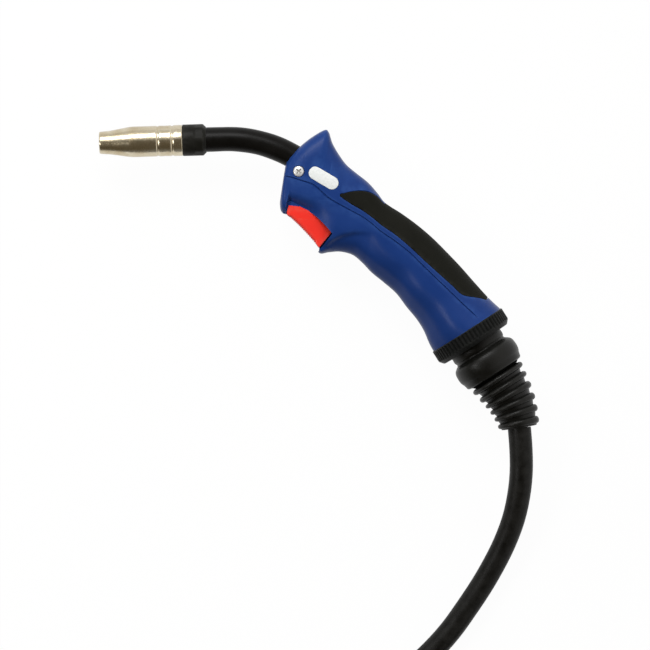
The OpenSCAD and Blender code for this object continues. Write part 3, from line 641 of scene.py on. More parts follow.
# %% Insulator ring
FLUTES = 8
FLUTE_FROM, FLUTE_TO = 56.6, 62.2
FLUTE_DEPTH, FLUTED_FROM_R = 0.3, 8.4
FLUTE_HALF, FLUTE_SLOPE = 0.4, 1.2
RING_R = 9.45
INSULATOR_PROFILE = (
    [(46.0, 6.0), (46.0, 7.4), (50.05, 7.4), (50.05, 9.2), (50.15, 9.36), (50.4, RING_R),
     (54.0, RING_R)]
    + [(56.0 + 0.4 * i, RING_R) for i in range(16)]
    + [(62.3, 9.38), (62.6, 9.2), (63.2, 8.55), (63.8, 8.0), (64.05, 7.8), (64.1, 7.6),
       (64.1, 7.2), (46.0, 6.0)])


def flute_depth(s, r, turn):
    """How deep the flutes of the insulator are at a point: rounded across, sloping out."""
    if not (FLUTE_FROM - 1 < s < FLUTE_TO + 1 and r > FLUTED_FROM_R):
        return 0.0
    from_middle = abs((turn / (2 * math.pi) * FLUTES) % 1 - 0.5)
    across = max(0.0, 1 - (from_middle / FLUTE_HALF) ** 2)
    return FLUTE_DEPTH * across * min(max((s - FLUTE_FROM) / FLUTE_SLOPE, 0), 1)


insulator = press_in(turned("insulator", INSULATOR_PROFILE, sides=192), flute_depth)
lay_along(insulator, NECK)
seat(insulator, "torch", "neck_insulator", "insulator_black")

# %% [markdown]
# ## The neck
#
# The brass neck wears a thick black sleeve with a satin skin. It runs straight, bends down
# by 45 degrees and disappears into the handle, so it is turned with a ring every few
# millimetres and bent along the neck's path.

# %% Neck sleeve
NECK_R = 7.35
NECK_FROM, NECK_TO = 56.1, 124.0
NECK_RINGS = 44
CORE_R = 4.6
WAVE, WAVE_TURN = 0.05, 0.31
neck_rings = [NECK_FROM + (NECK_TO - NECK_FROM) * i / NECK_RINGS for i in range(NECK_RINGS + 1)]
NECK_PROFILE = (
    [(NECK_FROM, CORE_R)] + [(s, NECK_R + WAVE * math.sin(s * WAVE_TURN)) for s in neck_rings]
    + [(s, CORE_R) for s in reversed(neck_rings)])
neck = lay_along(turned("neck", NECK_PROFILE, sides=80), NECK)
seat(neck, "torch", "neck_sleeve", "neck_black")

# %% [markdown]
# ## The handle's form
#
# The handle is a moulded shell in two halves. Its form is held by sections along its length:
# where the top and the bottom of the shell are, how wide it is, how square its shoulders
# are, and where the grip pad and the long side groove run. A smooth curve through the
# sections gives the shape at any place in between.

# %% Handle sections
# top x, y, bottom x, y, half width, squareness, then pad start, pad end and groove as shares
SECTIONS = [
    (110.4, -21.0, 107.1, -39.5, 9.0, 2.4, 0.04, 0.08, 0.14),
    (112.2, -14.6, 107.8, -44.4, 12.6, 2.8, 0.17, 0.21, 0.30),
    (118.0, -8.0, 111.0, -46.6, 13.8, 3.3, 0.28, 0.32, 0.43),
    (126.0, -1.5, 115.2, -50.8, 14.6, 3.7, 0.36, 0.39, 0.51),
    (134.9, 3.5, 119.6, -55.4, 15.0, 3.8, 0.40, 0.43, 0.55),
    (137.7, 2.3, 123.4, -60.0, 15.0, 3.8, 0.41, 0.44, 0.54),
    (139.7, -4.2, 126.8, -65.0, 15.2, 3.6, 0.39, 0.42, 0.50),
    (143.0, -10.6, 130.1, -70.2, 15.5, 3.2, 0.355, 0.39, 0.46),
    (147.6, -17.4, 135.6, -69.8, 15.8, 2.9, 0.335, 0.37, 0.455),
    (153.4, -22.7, 142.4, -69.6, 16.0, 2.7, 0.235, 0.395, 0.47),
    (160.4, -28.6, 149.8, -71.8, 16.2, 2.6, 0.12, 0.395, 0.47),
    (165.9, -35.2, 155.6, -76.8, 16.5, 2.5, 0.04, 0.36, 0.435),
    (170.4, -41.2, 161.0, -82.8, 16.8, 2.4, 0.014, 0.325, 0.405),
    (180.0, -47.9, 168.4, -89.2, 17.3, 2.4, 0.014, 0.325, 0.403),
    (189.4, -55.2, 175.4, -95.8, 17.8, 2.4, 0.014, 0.34, 0.403),
    (198.2, -63.2, 181.4, -104.2, 18.4, 2.4, 0.014, 0.335, 0.40),
    (206.4, -71.9, 187.0, -111.4, 19.2, 2.3, 0.014, 0.315, 0.388),
    (214.4, -80.8, 191.0, -118.2, 20.2, 2.2, 0.014, 0.285, 0.363),
    (222.0, -90.0, 193.6, -124.8, 21.4, 2.1, 0.014, 0.235, 0.328),
    (230.4, -99.8, 195.3, -128.6, 22.7, 2.05, 0.014, 0.05, 0.302),
    (237.35, -106.7, 196.65, -130.95, 23.7, 2.0, 0.014, 0.05, 0.30),
]
PAD_FIRST, PAD_LAST, PAD_OVER_TOP = 8, 19, 12
PAD_DEPTH = 1.3
LEDGE = 0.005
GROOVE_HALF, GROOVE_DEPTH = 0.009, 0.75
SEAM_DEPTH = 0.22
STEPS = 12
print(len(SECTIONS), "sections from nose to locking ring")

# %% [markdown]
# ## Points on the form
#
# Any point of the half shell is found from its station along the handle and its angle round
# the section. Each section is a superellipse, which goes from round to almost square with
# one number, the squareness. A rectangle with round corners would show a line at each join.

# %% Points on the form
def soft(x, low, high):
    """0 below low, 1 above high and an even slope between them, with soft ends."""
    t = min(max((x - low) / (high - low), 0.0), 1.0)
    return t * t * (3 - 2 * t)


def stretch(x, rise, fall):
    """1 between two soft slopes and 0 outside them; each slope is (from, to)."""
    return soft(x, *rise) * (1 - soft(x, *fall))


def section(k):
    """The section at station k, on a smooth curve through the table's rows."""
    return curve_at(SECTIONS, k)


def angle_at(row, share):
    """The angle round the half section at a share of its height, from the top edge down."""
    c = 1 - 2 * min(max(share, 0.0), 1.0)
    return math.acos(math.copysign(abs(c) ** (row[5] / 2), c))


def skin(row, angle, sunk=0.0):
    """A point of the left half's surface in the torch's millimetres, sunk by some depth."""
    top, bottom = Vector(row[0:2]), Vector(row[2:4])
    c, s = math.cos(angle), math.sin(angle)
    cx = math.copysign(abs(c) ** (2 / row[5]), c)
    sx = max(s, 0.0) ** (2 / row[5]) if 1e-6 < angle < math.pi - 1e-6 else 0.0
    p = (top + bottom) / 2 + ((top - bottom).length / 2 - sunk) * cx * (top - bottom).normalized()
    return Vector((p.x, p.y, (row[4] - sunk) * sx))


print("the handle is", round(2 * section(0)[4], 1), "mm thick at the nose and",
      round(2 * section(len(SECTIONS) - 1)[4], 1), "mm at the ring")

# %% [markdown]
# ## Dents in the handle
#
# Softer forms are pressed into the surface afterwards: the finger scoop over the trigger, the
# hollow under the crease behind it, and the dents between the swells of the grip. Each is a
# depth that rises and falls softly along the handle. Sculpting would give the same dents,
# but only by eye.

# %% Dents
CREASE = [(128, -67.5), (135.1, -63.4), (139.1, -60.9), (145.0, -58.5), (151.6, -57.3),
          (160.0, -57.6), (170, -60)]
HOLLOW_DEPTH = 1.7
HOLLOW_EDGE, HOLLOW_FRONT, HOLLOW_REAR = (-4.5, 0.4), (131, 139), (150, 166)
SCOOP_DEPTH, SCOOP_FLOOR = 5.4, 9.0
SCOOP_FRONT, SCOOP_REAR, SCOOP_ROOF = (0, 1.4), (10, 33), (-15, 0)
LIP_X, LIP_Y, LIP_LEAN = 110.3, -44.1, 0.2
ROOF_X, ROOF_Y, ROOF_FALL = 114.0, -31.5, -0.33
FINGER_DEPTH, SWELL_SPREAD = 2.6, 170.0
FINGER_LOW, FINGER_FRONT, FINGER_REAR = (0.42, 0.72), (152, 166), (212, 222)
OFF_SEAM = (0.0, 0.7)
SWELLS = [(176.0, -70.5), (194.0, -91.3), (212.0, -111.0)]


def crease_y(x):
    """The height of the crease behind the trigger at a place along the handle."""
    for (xa, ya), (xb, yb) in zip(CREASE, CREASE[1:]):
        if x <= xb:
            return ya + (yb - ya) * max(x - xa, 0) / (xb - xa)
    return CREASE[-1][1]


def relief(p, across, share):
    """How far the shell is pressed in at a point.

    across is 0 at the seam and 1 at the side, share 0 at the top edge and 1 at the bottom.
    """
    lip = LIP_X + LIP_LEAN * (p.y - LIP_Y)
    roof = ROOF_Y + ROOF_FALL * (p.x - ROOF_X)
    scoop = (SCOOP_DEPTH * stretch(p.x - lip, SCOOP_FRONT, SCOOP_REAR)
             * (1 - soft(p.y - roof, *SCOOP_ROOF)))
    scoop = min(scoop, max(p.z - SCOOP_FLOOR, 0))
    hollow = (HOLLOW_DEPTH * stretch(p.x, HOLLOW_FRONT, HOLLOW_REAR)
              * (1 - soft(p.y - crease_y(p.x), *HOLLOW_EDGE)))
    near = sum(math.exp(-((p.x - x) ** 2 + (p.y - y) ** 2) / SWELL_SPREAD) for x, y in SWELLS)
    finger = (FINGER_DEPTH * (1 - min(near, 1)) * soft(share, *FINGER_LOW)
              * stretch(p.x, FINGER_FRONT, FINGER_REAR))
    return (scoop + hollow + finger) * soft(across, *OFF_SEAM)


print(len(SWELLS), "swells on the grip")

# %% [markdown]
# ## Lofts
#
# Forms that aren't round are lofted: a grid of points is laid row by row, and where each row
# is a closed loop, the ends are filled and the result is a solid.

# %% Lofts
def grid(name, rows):
    """A sheet of quads through rows of points, given in the torch's millimetres."""
    bpy.ops.object.select_all(action="DESELECT")
    bpy.ops.mesh.primitive_grid_add(
        x_subdivisions=len(rows[0]) - 1, y_subdivisions=len(rows) - 1, size=0.1)
    piece = start(name)
    for v, p in zip(piece.data.vertices, [p for row in rows for p in row]):
        v.co = spot(*p)
    return piece


def loft(name, loops):
    """A closed solid through loops of points, with a flat face at each end."""
    piece = grid(name, [loop + loop[:1] for loop in loops])
    edit()
    bpy.ops.mesh.remove_doubles(threshold=MERGE)
    bpy.ops.mesh.select_all(action="DESELECT")
    bpy.ops.mesh.select_non_manifold()
    bpy.ops.mesh.fill_holes(sides=0)
    close_up()
    return piece


print("lofts go through rows of points")

# %% [markdown]
# ## Lines along the handle
#
# Each half is a grid of points laid on that form, with one column for each line that runs
# along the handle. Columns stand close together where the pad's edge, the groove and the
# seam run, so that those lines stay crisp. An even grid would need many times the points.

# %% Lines along the handle
SEAM_HALF, PAD_LIP = 0.25, 0.12
ABOVE_PAD, ON_PAD, TO_GROOVE, BELOW_GROOVE = 8, 14, 6, 34
GROOVE_START, GROOVE_END = (0.15, 0.5), (19.0, 19.7)


def spread(a, b, n):
    """Even steps from a to b, without a itself."""
    return [a + (b - a) * (i + 1) / n for i in range(n)]


def columns(row, k):
    """Angle and edge depth of every column at station k, from the top seam to the bottom."""
    pad_on = PAD_FIRST <= k <= PAD_LAST
    wraps = pad_on and k >= PAD_OVER_TOP
    seam = math.asin((SEAM_HALF / row[4]) ** (row[5] / 2))
    pad, pad_in, low_in, low, over, mid, mid_2, under = (
        angle_at(row, u) for u in (
            row[6], row[6] + LEDGE, row[7] - LEDGE, row[7], row[8] - GROOVE_HALF,
            row[8] - GROOVE_HALF / 3, row[8] + GROOVE_HALF / 3, row[8] + GROOVE_HALF))
    top = PAD_DEPTH if wraps else 0.0
    down = PAD_DEPTH if pad_on else 0.0
    groove = GROOVE_DEPTH * stretch(k, GROOVE_START, GROOVE_END)
    made = [(0.0, SEAM_DEPTH + top), (seam, top)]
    made += [(a, top) for a in spread(seam, pad, ABOVE_PAD)]
    made += [(a, down) for a in [pad_in] + spread(pad_in, low_in, ON_PAD)]
    made += [(low, PAD_LIP if pad_on else 0.0)]
    made += [(a, 0.0) for a in spread(low, over, TO_GROOVE)]
    made += [(mid, groove), (mid_2, groove), (under, 0.0)]
    made += [(a, 0.0) for a in spread(under, math.pi - seam, BELOW_GROOVE)]
    return made + [(math.pi, SEAM_DEPTH)]


print(len(columns(section(0), 0)), "lines along each half")

# %% [markdown]
# ## The handle's shell
#
# Each row of the grid runs down the outside of a section and comes back along the inside of
# the wall, an inset of the same curve, so the shell is a closed solid from the start.
# Thickening a single skin would be shorter, but folds where the dents are deep.

# %% Handle shell
WALL_T = 2.5
FRONT_WALL, CLOSED, NO_EDGE = 0.5, 0.03, 0.2
NOSE_ROLL, NOSE_LENGTH = 0.8, 0.09
EDGE_STATIONS = {0.02, 0.045, 7.985, 8.015, 11.985, 18.985, 19.015}


def nose(k):
    """How far the front rim is rolled in at station k."""
    return NOSE_ROLL * (1 - math.sqrt(max(1 - (1 - min(k / NOSE_LENGTH, 1)) ** 2, 0)))


def wall(k):
    """The half shell's section at station k as one loop: down the outside, up the inside."""
    row = section(k)
    outside, inside = [], []
    for angle, depth in columns(row, k):
        p = skin(row, angle)
        share = (1 - math.cos(angle)) / 2
        dent = relief(p, p.z / row[4], share) if depth < NO_EDGE else 0.0
        sunk = nose(k) + max(depth, dent)
        outside.append(skin(row, angle, sunk))
        inside.append(skin(row, angle, row[4] - CLOSED if k < FRONT_WALL else sunk + WALL_T))
    return outside + inside[::-1]


stations = {i / STEPS for i in range((len(SECTIONS) - 1) * STEPS + 1)} | EDGE_STATIONS
shell = loft("handle_left_shell", [wall(k) for k in sorted(stations)])
print("shell", len(stations), "by", len(wall(0)))

# %% [markdown]
# ## Straight blocks
#
# Openings are cut with blocks. A cube would have to be cut to shape first, so a block is a
# flat outline instead: a circle of as many points, moved to their places and pulled up.

# %% Blocks
def prism(name, outline, low, high):
    """A straight block with a flat outline, from one height to another."""
    bpy.ops.object.select_all(action="DESELECT")
    bpy.ops.mesh.primitive_circle_add(
        vertices=len(outline), radius=0.01, fill_type="NGON", location=(0, 0, 0))
    piece = start(name)
    for v, (x, y) in zip(piece.data.vertices, outline):
        v.co = spot(x, y, low)
    edit("FACE")
    bpy.ops.mesh.extrude_region_move(
        TRANSFORM_OT_translate={"value": (0, 0, (high - low) * MM)})
    close_up()
    return piece


def bezier(a, b, c, d, t):
    """The point at share t of a Bezier curve with ends a and d and handles b and c."""
    return tuple((1 - t) ** 3 * p + 3 * t * (1 - t) ** 2 * q + 3 * t * t * (1 - t) * r
                 + t ** 3 * s for p, q, r, s in zip(a, b, c, d))


def drum(name, x, y, low, high, r, sides=48, turn=0.0):
    """An upright cylinder or prism, as a block with a regular outline."""
    return prism(name, [(x + r * math.cos(turn + 2 * math.pi * i / sides),
                         y + r * math.sin(turn + 2 * math.pi * i / sides))
                        for i in range(sides)], low, high)


print("blocks can be drawn")

# %% [markdown]
# ## Joining, copying and mirroring
#
# The two halves of the handle are one half, copied and mirrored before its own details are
# added. A mirror modifier would tie them together, and they aren't quite alike.

# %% Joining and copying
def join(pieces, name):
    only(pieces[0])
    for piece in pieces[1:]:
        piece.select_set(True)
    bpy.ops.object.join()
    return start(name)


def copied(piece, name):
    only(piece)
    bpy.ops.object.duplicate()
    return start(name)


def mirrored(piece):
    """Moves a piece to its mirror image on the other side of the handle's middle plane."""
    only(piece)
    edit()
    bpy.ops.transform.mirror(constraint_axis=(False, False, True), center_override=spot(0, 0))
    close_up()
    return piece


print("pieces can be joined, copied and mirrored")

# %% [markdown]
# ## Openings in the handle
#
# Both halves are open where the neck goes in and where the trigger sits. The left half has a
# round pocket for the screw's head and a shallow bed for the oval plate. The right half is
# the mirror image with a six-sided pocket for the nut. Two webs in each half close the gaps
# before and behind the trigger.

# %% Handle openings
SCREW = (119.1, -21.1)
PLATE_A, PLATE_B, PLATE_R = Vector((128.9, -22.5)), Vector((138.7, -28.7)), 3.9
PLATE_TOP, PLATE_T, PLATE_GAP = 15.4, 0.9, 0.12
SCREW_SEAT, SCREW_POCKET_R = 12.6, 3.55
NUT_SEAT, NUT_POCKET_R = 11.7, 3.3
CLEAR = 20
WAY_FROM, WAY_TO, WAY_R = 78, 132, 7.5
ARCH_STEPS = 24
ARCH = [(112.1, -41.6), (122.0, -40.3), (132.0, -50.5), (138.0, -59.0)]
WEB_FROM, WEB_HALF = 0.1, 6.0
WEBS = [[(129.8, -68.6), (130.1, -66.4), (136.5, -58.9), (136.9, -57.4), (139.2, -57.0),
         (140.5, -60.0), (133.0, -68.4)],
        [(108.4, -41.5), (108.8, -45.6), (111.9, -46.4), (112.6, -44.2), (112.2, -41.8)]]


def stadium(grow=0.0, steps=24):
    """The oval plate's outline, larger by some margin."""
    ahead = (PLATE_B - PLATE_A).normalized()
    turn = math.atan2(ahead.y, ahead.x)
    made = []
    for centre, start_at in ((PLATE_B, turn - math.pi / 2), (PLATE_A, turn + math.pi / 2)):
        for i in range(steps + 1):
            a = start_at + math.pi * i / steps
            made.append((centre.x + (PLATE_R + grow) * math.cos(a),
                         centre.y + (PLATE_R + grow) * math.sin(a)))
    return made


pocket = [(110.6, -62), (110.6, -46)]
pocket += [bezier(*ARCH, i / ARCH_STEPS) for i in range(ARCH_STEPS + 1)]
pocket += [(128, -70.8), (120, -76)]
cut_with(shell, prism("trigger_pocket", pocket, -CLEAR, CLEAR))
way = [(WAY_FROM, AXIS)] + [(s, WAY_R) for s in range(WAY_FROM, WAY_TO + 1, 2)] + [(WAY_TO, AXIS)]
cut_with(shell, lay_along(turned("neck_way", way, sides=64), NECK))

other = copied(shell, "handle_right_shell")
cut_with(shell, drum("screw_pocket", *SCREW, SCREW_SEAT, CLEAR, SCREW_POCKET_R))
cut_with(shell, prism("plate_bed", stadium(PLATE_GAP), PLATE_TOP - PLATE_T, CLEAR))
cut_with(other, drum("nut_pocket", *SCREW, NUT_SEAT, CLEAR, NUT_POCKET_R, sides=6))
shell = join([shell] + [prism("web", line, WEB_FROM, WEB_HALF) for line in WEBS], shell.name)
other = join([other] + [prism("web", line, WEB_FROM, WEB_HALF) for line in WEBS], other.name)
mirrored(other)
seat(shell, "torch", "handle_left", "handle_blue", angle=32)
seat(other, "torch", "handle_right", "handle_blue", angle=32)

# %% [markdown]
# ## Grip pads
#
# The pads are soft black elastomer, moulded separately and glued into their beds. Painting
# them on the shell would be quicker, but a real pad has a rolled edge and a hairline of
# shadow all round, so each is a piece of its own that follows the shell's sections.

# %% Grip pads
PAD_GAP = 0.0022
PAD_COLUMNS = 34
EDGE_ROLL = [0.42, 0.12, 0.03]
EDGE_STEP, END_ROLL = 0.012, 0.3
PAD_THICK, PAD_SEAM, END_SLOPE = PAD_DEPTH - 0.5, SEAM_DEPTH + 0.1, (0.01, 0.06)
PAD_END_ROWS = {8.015, 8.03, 8.045, 11.985, 18.955, 18.97, 18.985}


def pad_point(k, j):
    """A point of the pad's outer face: row k, column j from its upper edge down."""
    row = section(k)
    wraps = k >= PAD_OVER_TOP
    first = 0.0 if wraps else angle_at(row, row[6] + LEDGE + PAD_GAP)
    last = angle_at(row, row[7] - LEDGE - PAD_GAP)
    share = j / PAD_COLUMNS
    if j <= 2:
        share = j * EDGE_STEP
    elif j >= PAD_COLUMNS - 2:
        share = 1 - (PAD_COLUMNS - j) * EDGE_STEP
    from_edge = min(PAD_COLUMNS - j, PAD_COLUMNS if wraps else j)
    roll = EDGE_ROLL[from_edge] if from_edge < 3 else 0.0
    roll = max(roll, PAD_SEAM if wraps and j == 0 else 0.0)
    from_end = min(k - PAD_FIRST, PAD_LAST - k)
    roll = max(roll, END_ROLL * (1 - soft(from_end, *END_SLOPE)))
    return skin(row, first + (last - first) * share, roll)


pad_rows = {i / STEPS for i in range(PAD_FIRST * STEPS + 1, PAD_LAST * STEPS)} | PAD_END_ROWS
pad = grid("grip_pad_left_skin", [
    [pad_point(k, j) for j in range(PAD_COLUMNS + 1)] for k in sorted(pad_rows)])
edit()
if pad.data.polygons[len(pad.data.polygons) // 2].normal.z < 0:
    bpy.ops.mesh.flip_normals()
bpy.ops.object.mode_set(mode="OBJECT")
thick = pad.modifiers.new("wall", "SOLIDIFY")
thick.thickness = PAD_THICK * MM
thick.offset = -1
apply_modifiers(pad)
seat(mirrored(copied(pad, "grip_pad_right_skin")), "torch", "grip_pad_right", "pad_black")
seat(pad, "torch", "grip_pad_left", "pad_black")

# %% [markdown]
# ## The oval plate
#
# A plain white oval plate is let into the left side, with nothing on it. Its outline is the
# bed's own, a little smaller, and a bevel softens the edges.

# %% Oval plate
PLATE_EDGE = 0.28

plate = prism("plate", stadium(), PLATE_TOP - PLATE_T, PLATE_TOP)
edit("EDGE")
bpy.ops.mesh.bevel(offset=PLATE_EDGE * MM, segments=3, affect="EDGES")
close_up()
seat(plate, "torch", "name_plate", "label_white")

# %% [markdown]
# ## The handle screw
#
# A cross-head screw in front of the plate holds the halves together. It is turned like every
# round piece and stood upright, and the cross is cut with two thin blocks and a middle one.

# %% Handle screw
CROSS_LONG, CROSS_WIDE, CROSS_FROM = 2.0, 0.42, 13.0
CROSS_MIDDLE_FROM, CROSS_MIDDLE_R = 12.8, 0.95
CROSS_TO = 15


def stand_up(piece, x, y):
    """Stands a piece that was modelled along X upright at a place of the torch."""
    return placed(piece, lambda p: spot(x, y) + Vector((-p.z, p.y, p.x)))


SCREW_PROFILE = [
    (-13, AXIS), (-13, 1.35), (12.6, 1.4), (12.6, 3.1), (12.7, 3.22), (12.85, 3.25), (13.5, 3.25),
    (13.75, 3.16), (14.0, 2.95), (14.25, 2.5), (14.42, 1.7), (14.5, 0.8), (14.5, AXIS),
]
screw = stand_up(turned("screw", SCREW_PROFILE, sides=64), *SCREW)
for turn in (45, 135):
    a = math.radians(turn)
    ahead, side = Vector((math.cos(a), math.sin(a))), Vector((-math.sin(a), math.cos(a)))
    slot_line = [Vector(SCREW) + CROSS_LONG * i * ahead + CROSS_WIDE * j * side
                 for i, j in ((1, 1), (-1, 1), (-1, -1), (1, -1))]
    cut_with(screw, prism("cross", slot_line, CROSS_FROM, CROSS_TO))
cut_with(screw, drum("cross_middle", *SCREW, CROSS_MIDDLE_FROM, CROSS_TO, CROSS_MIDDLE_R,
                     sides=24))
seat(screw, "torch", "handle_screw", "steel", angle=30)

# %% [markdown]
# ## The trigger's outline
#
# The trigger is a solid moulded lever that turns on a pin. Its side view is one outline: the
# finger side is a curve with a row of fine ridges, and the hidden back is straight runs. For
# each point of it, the direction that leads inwards is needed for the rounded edges.

# %% Trigger outline
BELLY = [(111.3, -46.6), (116.4, -51.2), (122.6, -57.6), (129.8, -66.95)]
BACK = [(132.0, -64.6), (135.0, -61.2), (137.1, -58.8), (137.45, -57.9),
        (137.3, -56.0), (136.4, -52.4), (134.0, -49.4), (130.6, -46.0), (128.6, -42.6),
        (126.9, -40.0), (125.8, -39.4), (122, -39.3), (118, -39.3), (115.2, -39.4),
        (113.2, -39.8), (112.3, -41.2), (111.6, -43.2), (111.2, -45.6)]
TRIGGER_HALF = 9.6
RIDGES, PER_RIDGE, RIDGE = 22, 6, 0.36
FINGER_R, HIDDEN_R = 2.4, 0.5
HIDDEN_CORNER, TIP_CORNER = 1.15, 1.5

belly_n = RIDGES * PER_RIDGE
outline = [Vector(bezier(*BELLY, i / belly_n)) for i in range(belly_n + 1)]
outline += [Vector(p) for p in BACK]
inward = []
for i, p in enumerate(outline):
    run = (outline[(i + 1) % len(outline)] - p).normalized() + (p - outline[i - 1]).normalized()
    run.normalize()
    inward.append(Vector((-run.y, run.x)))
CORNERS = {0: HIDDEN_CORNER, belly_n: TIP_CORNER}
print(len(outline), "points round the trigger")

# %% [markdown]
# ## The trigger's lever
#
# The outline is repeated in slices across the width, each a little smaller towards the sides
# where the edges are rounded, and the slices are lofted. A bevel would round the edges too,
# but not with a large radius on the finger side and a small one on the hidden side.

# %% Trigger lever
SLICES = [9.6, 9.52, 9.3, 9.0, 8.6, 8.1, 7.6, 6.5, 4, 2]
END_POINTS = (4, 20)
RIDGES_END = (8.7, 9.5)


def trigger_slice(z):
    """The trigger's outline at one height, pulled in where its edges are rounded."""
    made = []
    for i, p in enumerate(outline):
        ends = soft(min(i, belly_n - i), *END_POINTS) if i <= belly_n else 0.0
        r = HIDDEN_R + (FINGER_R - HIDDEN_R) * ends
        over = max(abs(z) - (TRIGGER_HALF - r), 0) / r
        inset = r * (1 - math.sqrt(max(1 - over * over, 0)))
        q = p + inward[i] * inset * CORNERS.get(i, 1.0)
        for corner, longer in CORNERS.items():
            if 0 < (p - outline[corner]).length < 1.3 * inset and i <= belly_n:
                q = outline[corner] + inward[corner] * inset * longer
        ridge = 0.5 - 0.5 * math.cos(2 * math.pi * i / PER_RIDGE)
        q = q + inward[i] * RIDGE * ridge * ends * (1 - soft(abs(z), *RIDGES_END))
        made.append((q.x, q.y, z))
    return made


heights = [-z for z in SLICES] + [0] + SLICES[::-1]
lever = loft("trigger_lever", [trigger_slice(z) for z in heights])
print("lever in", len(heights), "slices")

# %% [markdown]
# ## What the trigger clears
#
# The lever turns between two webs of the shell, so it has a recess for each, wide enough for
# its whole travel. It has a hole for the pin and a seat for the spring's end, and its hidden
# top is thinner, so that it stays below the scoop of the handle.

# %% Trigger cuts and pin
PIN = (115.2, -38.6)
PIN_HOLE_R, PIN_HALF, PIN_R = 1.3, 7.6, 1.25
PIN_END_R, PIN_CHAMFER = 1.0, 0.25
WEB_GAP = 0.6
SPRING_SEAT = bent_path(133.3, -48.9, 45)
SEAT_PROFILE = [(-2.4, AXIS), (-2.4, 2.9), (4, 2.9), (4, AXIS)]
RECESSES = [[(129.0, -71), (127.6, -65.4), (135.2, -56.6), (140, -56.6), (140, -71)],
            [(108, -40.6), (113.1, -40.6), (113.5, -44), (112.6, -49), (108, -49)]]
UNDER = [(109, -37), (109, -41.3), (113, -41.2), (119, -42.0), (124, -44.5), (128, -47.4),
         (131, -50.5), (133, -50.5), (133, -37)]
UNDER_WALL, CUT_OUT = 6.3, 12

cut_with(lever, drum("pin_hole", *PIN, -CUT_OUT, CUT_OUT, PIN_HOLE_R))
for line in RECESSES:
    cut_with(lever, prism("recess", line, -WEB_HALF - WEB_GAP, WEB_HALF + WEB_GAP))
cut_with(lever, lay_along(turned("spring_seat", SEAT_PROFILE, sides=40), SPRING_SEAT))
for low, high in ((UNDER_WALL, CUT_OUT), (-CUT_OUT, -UNDER_WALL)):
    cut_with(lever, prism("under_wall", UNDER, low, high))
seat(lever, "trigger", "trigger", "trigger_red", angle=28)

PIN_PROFILE = [
    (-PIN_HALF, AXIS), (-PIN_HALF, PIN_END_R), (PIN_CHAMFER - PIN_HALF, PIN_R),
    (PIN_HALF - PIN_CHAMFER, PIN_R), (PIN_HALF, PIN_END_R), (PIN_HALF, AXIS),
]
pin = stand_up(turned("pivot_pin", PIN_PROFILE, sides=40), *PIN)
seat(pin, "torch", "trigger_pin", "steel")

# %% [markdown]
# ## Locking ring
#
# The ring screws over the rear of both halves. Sixty fine grooves round its rim give grip.
# Sixty cutters would make them one by one; pressing in the points of a finely turned ring
# makes them at once, and lets them run out softly at both ends.

# %% Locking ring
RING_FLUTES, RING_R_OUT, RING_FLUTE = 60, 24.5, 0.6
RING_PROFILE = [
    (0.2, 20.7), (0.2, 23.9), (0.0, 24.0), (0.15, 24.3), (0.5, RING_R_OUT), (1.2, RING_R_OUT),
    (1.6, RING_R_OUT), (6.6, RING_R_OUT), (7.0, RING_R_OUT), (7.5, 24.3), (8.2, 23.75),
    (9.6, 22.55), (9.9, 22.2), (10.0, 21.8), (10.0, 17.7), (9.8, 17.5), (6.7, 17.5),
    (6.7, 20.7), (0.2, 20.7),
]
GROOVED_FROM_R = 24.1
GROOVES_FRONT, GROOVES_REAR = (0.6, 1.4), (7.0, 7.6)


def groove_depth(s, r, turn):
    """How deep the grip grooves of the ring are at a point."""
    if r <= GROOVED_FROM_R:
        return 0.0
    wave = 0.5 + 0.5 * math.cos(turn * RING_FLUTES)
    return RING_FLUTE * wave ** 2 * stretch(s, GROOVES_FRONT, GROOVES_REAR)


ring = press_in(turned("knurled_ring", RING_PROFILE, sides=RING_FLUTES * 8), groove_depth)
lay_along(ring, TAIL)
seat(ring, "torch", "locking_ring", "ring_black", angle=30)

# %% [markdown]
# ## Cable boot
#
# A soft rubber boot keeps the cable from kinking where it leaves the handle: a thick collar
# and six ribs that get smaller towards the cable. Its profile is a smooth curve for the
# collar and half waves for the ribs. Bending it last keeps every rib square to the cable.

# %% Cable boot
COLLAR_STEPS = 5
COLLAR_SHAPE = [(0, 17.0), (2.4, 17.05), (3.6, 16.85), (4.6, 16.35), (5.6, 16.8), (6.6, 18.2),
                (7.8, 19.5), (9.6, 20.25), (12.0, 20.5), (14.2, 20.42), (16.0, 20.0),
                (17.4, 19.35), (18.8, 19.0), (20.0, 18.7), (20.7, 17.9), (21.0, 16.4)]
COLLAR_FROM = RING_LENGTH + 0.2
RIB_FROM, RIBS, RIB_STEPS = 21.4, 6, 20
RIB_PITCH = (BOOT_LENGTH - RIB_FROM) / RIBS
RIB_SHARE = 0.62
ROOT_R, ROOT_TAPER = 14.4, 0.72
CREST_R, CREST_TAPER = 17.3, 0.95
CREST_FLATNESS = 0.8
BORE_R, BORE_RINGS = 7.25, 28

